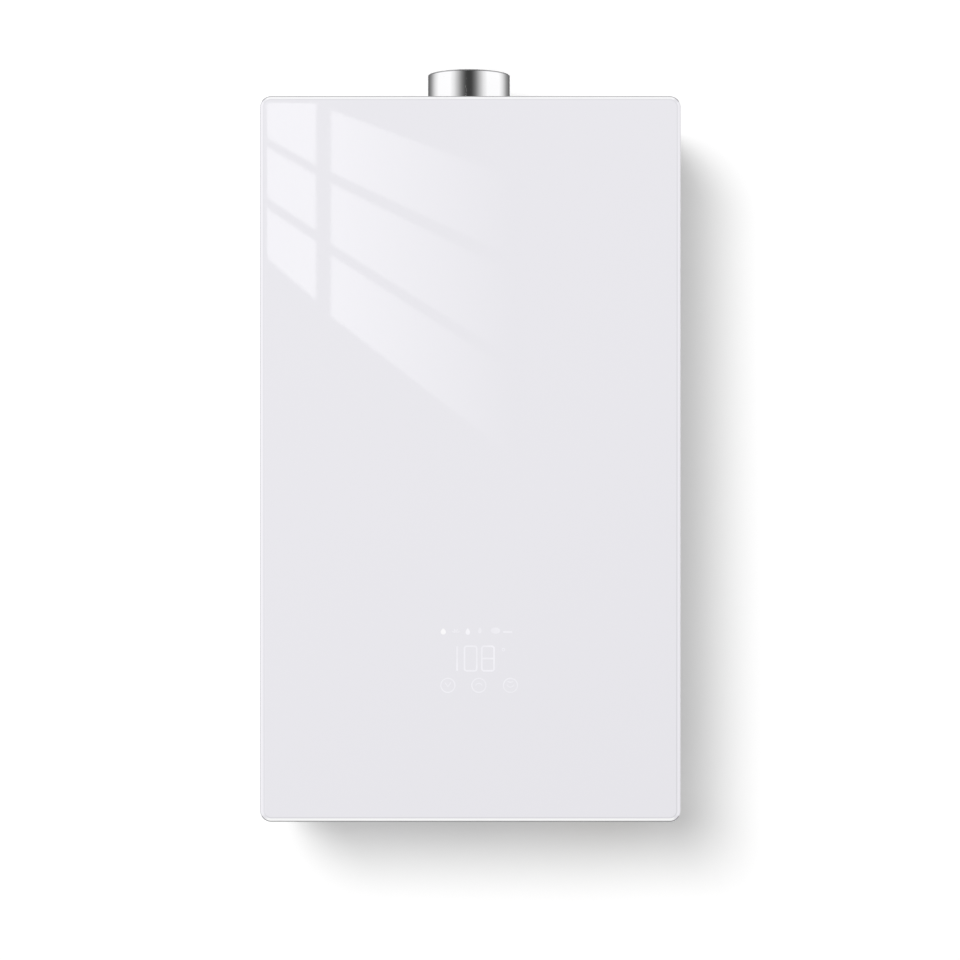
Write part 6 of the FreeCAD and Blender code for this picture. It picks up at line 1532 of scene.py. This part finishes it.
class HEATER_OT_control(bpy.types.Operator):
    """Makes the control box's lid, spark unit, air switch with its hose, and the looms"""

    bl_idname = "heater.control"
    bl_label = "Controls and looms"

    def execute(self, context):
        self.boxes()
        self.air_switch()
        self.looms()
        return {"FINISHED"}

    def boxes(self):
        """Lid with a raised field and four screws, and the spark unit with its two towers."""
        low, high = span("control_lid")
        face = low[1] + 2.0
        centre = ((low[0] + high[0]) / 2, face, (low[2] + high[2]) / 2)
        wide, tall = high[0] - low[0], high[2] - low[2]
        lid = slab(wide, tall, 3.0, eased(2.0, 0.8), centre)
        lip_rows = [(0, -3), (0, 0), (1.5, 0), (1.5, -3)]
        lip = slab(wide - 4.6, tall - 4.6, 2.0, lip_rows, centre, steps=4, loop=True)
        field = slab(wide - 26, tall - 50, 4.0,
                     [(0, 1.9), (0, 2.0), (0.8, 2.6), (1.1, 2.7), (6, 2.7)], centre)
        heads = corner_screws(centre, wide / 2 - 7, 2, tall / 2 - 7, 3.0)
        reach = wide / 2 - 14
        ribs = [soft_box(np.add(centre, (-reach, -2.5, z)), np.add(centre, (reach, -1.9, z + 1.6)), 0.3)
                for z in (-52, -47, 45, 50)]
        piece("box_lid", "heater",
              {"pale plastic": [lid, lip, field] + ribs, "bright screw": heads}, ["control_lid"])
        low, high = span("spark_unit")
        top = low[2] + 70
        case = [soft_box(low, (high[0], high[1], top), 2.2, 3.0, LEFT, steps=4),
                soft_box((low[0] + 5, low[1] + 4, top - 0.4), (high[0] - 5, high[1] - 4, top + 1.2),
                         0.4, 2.0, UP)]
        towers, tags = [], []
        for share in (0.3, 0.7):
            spot = ((low[0] + high[0]) / 2, low[1] + 35 * share, top)
            towers.append(turned([(4.2, 0.5), (3.4, 5.6), (3.0, 6.0)], spot, UP, 32, soft=0.3))
            tags.append(blade(np.add(spot, UP * 5.8), UP, RIGHT, 2.8, 2.2))
        heads = [screw((low[0], low[1] + 5, top - 6), LEFT, 2.4),
                 screw((low[0], high[1] - 5, low[2] + 6), LEFT, 2.4)]
        piece("spark_box", "heater",
              {"dark plastic": case + towers, "bright screw": heads + tags}, ["spark_unit"])

    def air_switch(self):
        """Drum with a clamped rim, dome and setting screw, its foot and terminals, and the rubber hose."""
        low, high = span("pressure_switch")
        centre = middle("pressure_switch")
        rear = low[1] + 20
        axis = np.array([centre[0], rear, centre[2]])
        drum = turned([(25, 0), (25, 5), (27, 5.6), (27, 8.4), (25, 9), (23.5, 13), (21, 15.5), (14, 16.5),
                       (12, 17.5), (8, 18), (8, 19.4), (7.4, 20)], axis, FRONT, 72, soft=0.5)
        foot = soft_box((centre[0] - 11, rear - 1, centre[2] - 11),
                        (centre[0] + 11, high[1], centre[2] + 11), 0.6, 1.5)
        nozzle = turned([(4, 0), (4, 3), (3.2, 3.4), (3.2, 9)], axis + [24, -20 / 3, 0], RIGHT, 28)
        rivets = [turned([(1.5, 0), (1.1, 0.8)], spot, FRONT, 12)
                  for spot in places_round(axis, 26, -8.4, range(0, 360, 45))]
        setting = screw(axis + FRONT * 19.9, FRONT, 3.4)
        tags = [blade(axis + [step, -16.2, -12], FRONT, UP, 6.3, 8) for step in (-8, 0, 8)]
        piece("air_switch", "heater",
              {"pale plastic": [drum, foot, nozzle], "bright screw": rivets + [setting] + tags},
              ["pressure_switch"])
        low, high = span("pressure_hose")
        y, z = (low[1] + high[1]) / 2, (low[2] + high[2]) / 2
        x = np.linspace(low[0], high[0], 25)
        sag = -2.5 * np.sin(np.pi * (x - low[0]) / (high[0] - low[0])) ** 2
        hose = carried(np.stack([x, np.full(25, y), z + sag], -1), circle(3.0, 24))
        piece("air_hose", "heater", {"rubber": [hose]}, ["pressure_hose"])

    def sleeve(self, route, bend, width, thickness, guide, ties):
        """Flattened sleeve along a route, with narrow ties at given places."""
        path = softened(route, bend, 8)
        parts = [carried(path, rounded_rectangle(width, thickness, thickness * 0.48, 4), guide)]
        bands = []
        for place, way in ties:
            ends = np.array([place, np.add(place, np.multiply(way, 2.6))])
            bands.append(carried(ends,
                                 rounded_rectangle(width + 1.2, thickness + 1.2, thickness * 0.55, 4), guide))
        return parts, bands

    def looms(self):
        """Sleeved looms to the fan, the display and the valve; four wires show at the fan's end."""
        low, high = span("fan_loom")
        y = (low[1] + high[1]) / 2
        x, top = low[0] + 4, high[2] - 4
        end = FAN[0]
        route = [(x, y, low[2]), (x, y, top), (end, y, top), (end, y, 232)]
        ties = [((x, y, z), UP) for z in (-120, -40, 40, 120, 200)]
        ties += [((place, y, top), RIGHT) for place in (-120, -50, 15)]
        parts, bands = self.sleeve(route, 9, 8, 4, BACK, ties)
        wires = [tube([(end + step, y, 233), (end + step, y, 226 + abs(step)), (end + 2 * step, y, 220)], 0.9,
                      2, 10) for step in (-3, -1, 1, 3)]
        piece("fan_wires", "heater",
              {"sleeving": parts, "white plastic": bands + wires[:1], "red plastic": wires[1:2],
               "blue plastic": wires[2:3], "rubber": wires[3:]}, ["fan_loom"])
        low, high = span("display_loom")
        box = span("control_lid")[1][0]
        level, plug = middle("display_loom")[2], high[0] - 5.7
        back = high[1] - 3.2
        route = [(box - 1, back, level), (plug, back, level), (plug, low[1] + 5, level)]
        parts, bands = self.sleeve(route, 9, 6.4, 2.4, UP, [((box + 14, back, level), RIGHT)])
        housing = soft_box((plug - 5.7, low[1], level - 3.2),
                           (plug + 5.7, low[1] + 7.5, level + 3.2), 0.6, 0.8)
        piece("display_wires", "heater",
              {"sleeving": parts, "white plastic": bands + [housing]}, ["display_loom"])
        low, high = span("valve_loom")
        level = (low[2] + high[2]) / 2
        half = (low[0] + high[0]) / 2
        route = [(low[0], low[1] + 2, level), (half - 2, low[1] + 2, level), (half + 2, high[1] - 2, level),
                 (high[0], high[1] - 2, level)]
        parts, _ = self.sleeve(route, 2, 8, 4, UP, [])
        piece("valve_wires", "heater", {"sleeving": parts}, ["valve_loom"])


class HEATER_OT_inner(bpy.types.Operator):
    """Finishes the nodes of the frame that keep their own shape, and adds the sheets' small screws"""

    bl_idname = "heater.inner"
    bl_label = "Kept parts"

    def execute(self, context):
        dress(["exhaust_hood", "support_rails", "burner_box"], "zinc sheet")
        dress(["exchanger_fins"], "copper")
        dress(["display_board", "control_board"], "circuit board")
        dress(["display_case", "display_module"], "dark plastic")
        dress(["control_box"], "pale plastic")
        dress(["burner_blades"], "burner steel")
        burner = (span("burner_box")[0][2] + span("burner_box")[1][2]) / 2
        heads = [screw((side * 92, -2.4, z + step), FRONT, 2.6)
                 for side in (-1, 0, 1) for z in (WATER_Z, burner) for step in (-12.5, 12.5)]
        piece("rail_screws", "heater", {"bright screw": heads})
        return {"FINISHED"}


class HEATER_PT_panel(bpy.types.Panel):
    """Lists the heater's steps and sizes"""

    bl_idname = "HEATER_PT_panel"
    bl_label = "Water heater"
    bl_space_type = "VIEW_3D"
    bl_region_type = "UI"
    bl_category = "Heater"

    def draw(self, context):
        for step in STEPS:
            self.layout.operator(step.bl_idname)
        for key, group in GROUPS.items():
            box = self.layout.box()
            for setting in group.__annotations__:
                box.prop(getattr(context.scene, key), setting)


GROUPS = {"heater_panel": HeaterPanelSizes, "heater_metal": HeaterMetalSizes, "heater_colours": HeaterColours,
          "heater_stage": HeaterStage}
STEPS = [HEATER_OT_stage, HEATER_OT_panel, HEATER_OT_display, HEATER_OT_collar, HEATER_OT_flap,
         HEATER_OT_case, HEATER_OT_fittings, HEATER_OT_water, HEATER_OT_gas, HEATER_OT_fan, HEATER_OT_control,
         HEATER_OT_inner]


def register():
    """Adds the classes and their settings to Blender."""
    for made in [*GROUPS.values(), *STEPS, HEATER_PT_panel]:
        bpy.utils.register_class(made)
    for key, group in GROUPS.items():
        setattr(bpy.types.Scene, key, PointerProperty(type=group))


def unregister():
    """Takes them away again."""
    for key in GROUPS:
        delattr(bpy.types.Scene, key)
    for made in [HEATER_PT_panel, *reversed(STEPS), *reversed(GROUPS.values())]:
        bpy.utils.unregister_class(made)


def main():
    """Runs every step in order."""
    register()
    for step in STEPS:
        area, name = step.bl_idname.split(".")
        getattr(getattr(bpy.ops, area), name)()


if __name__ == "__main__":
    main()
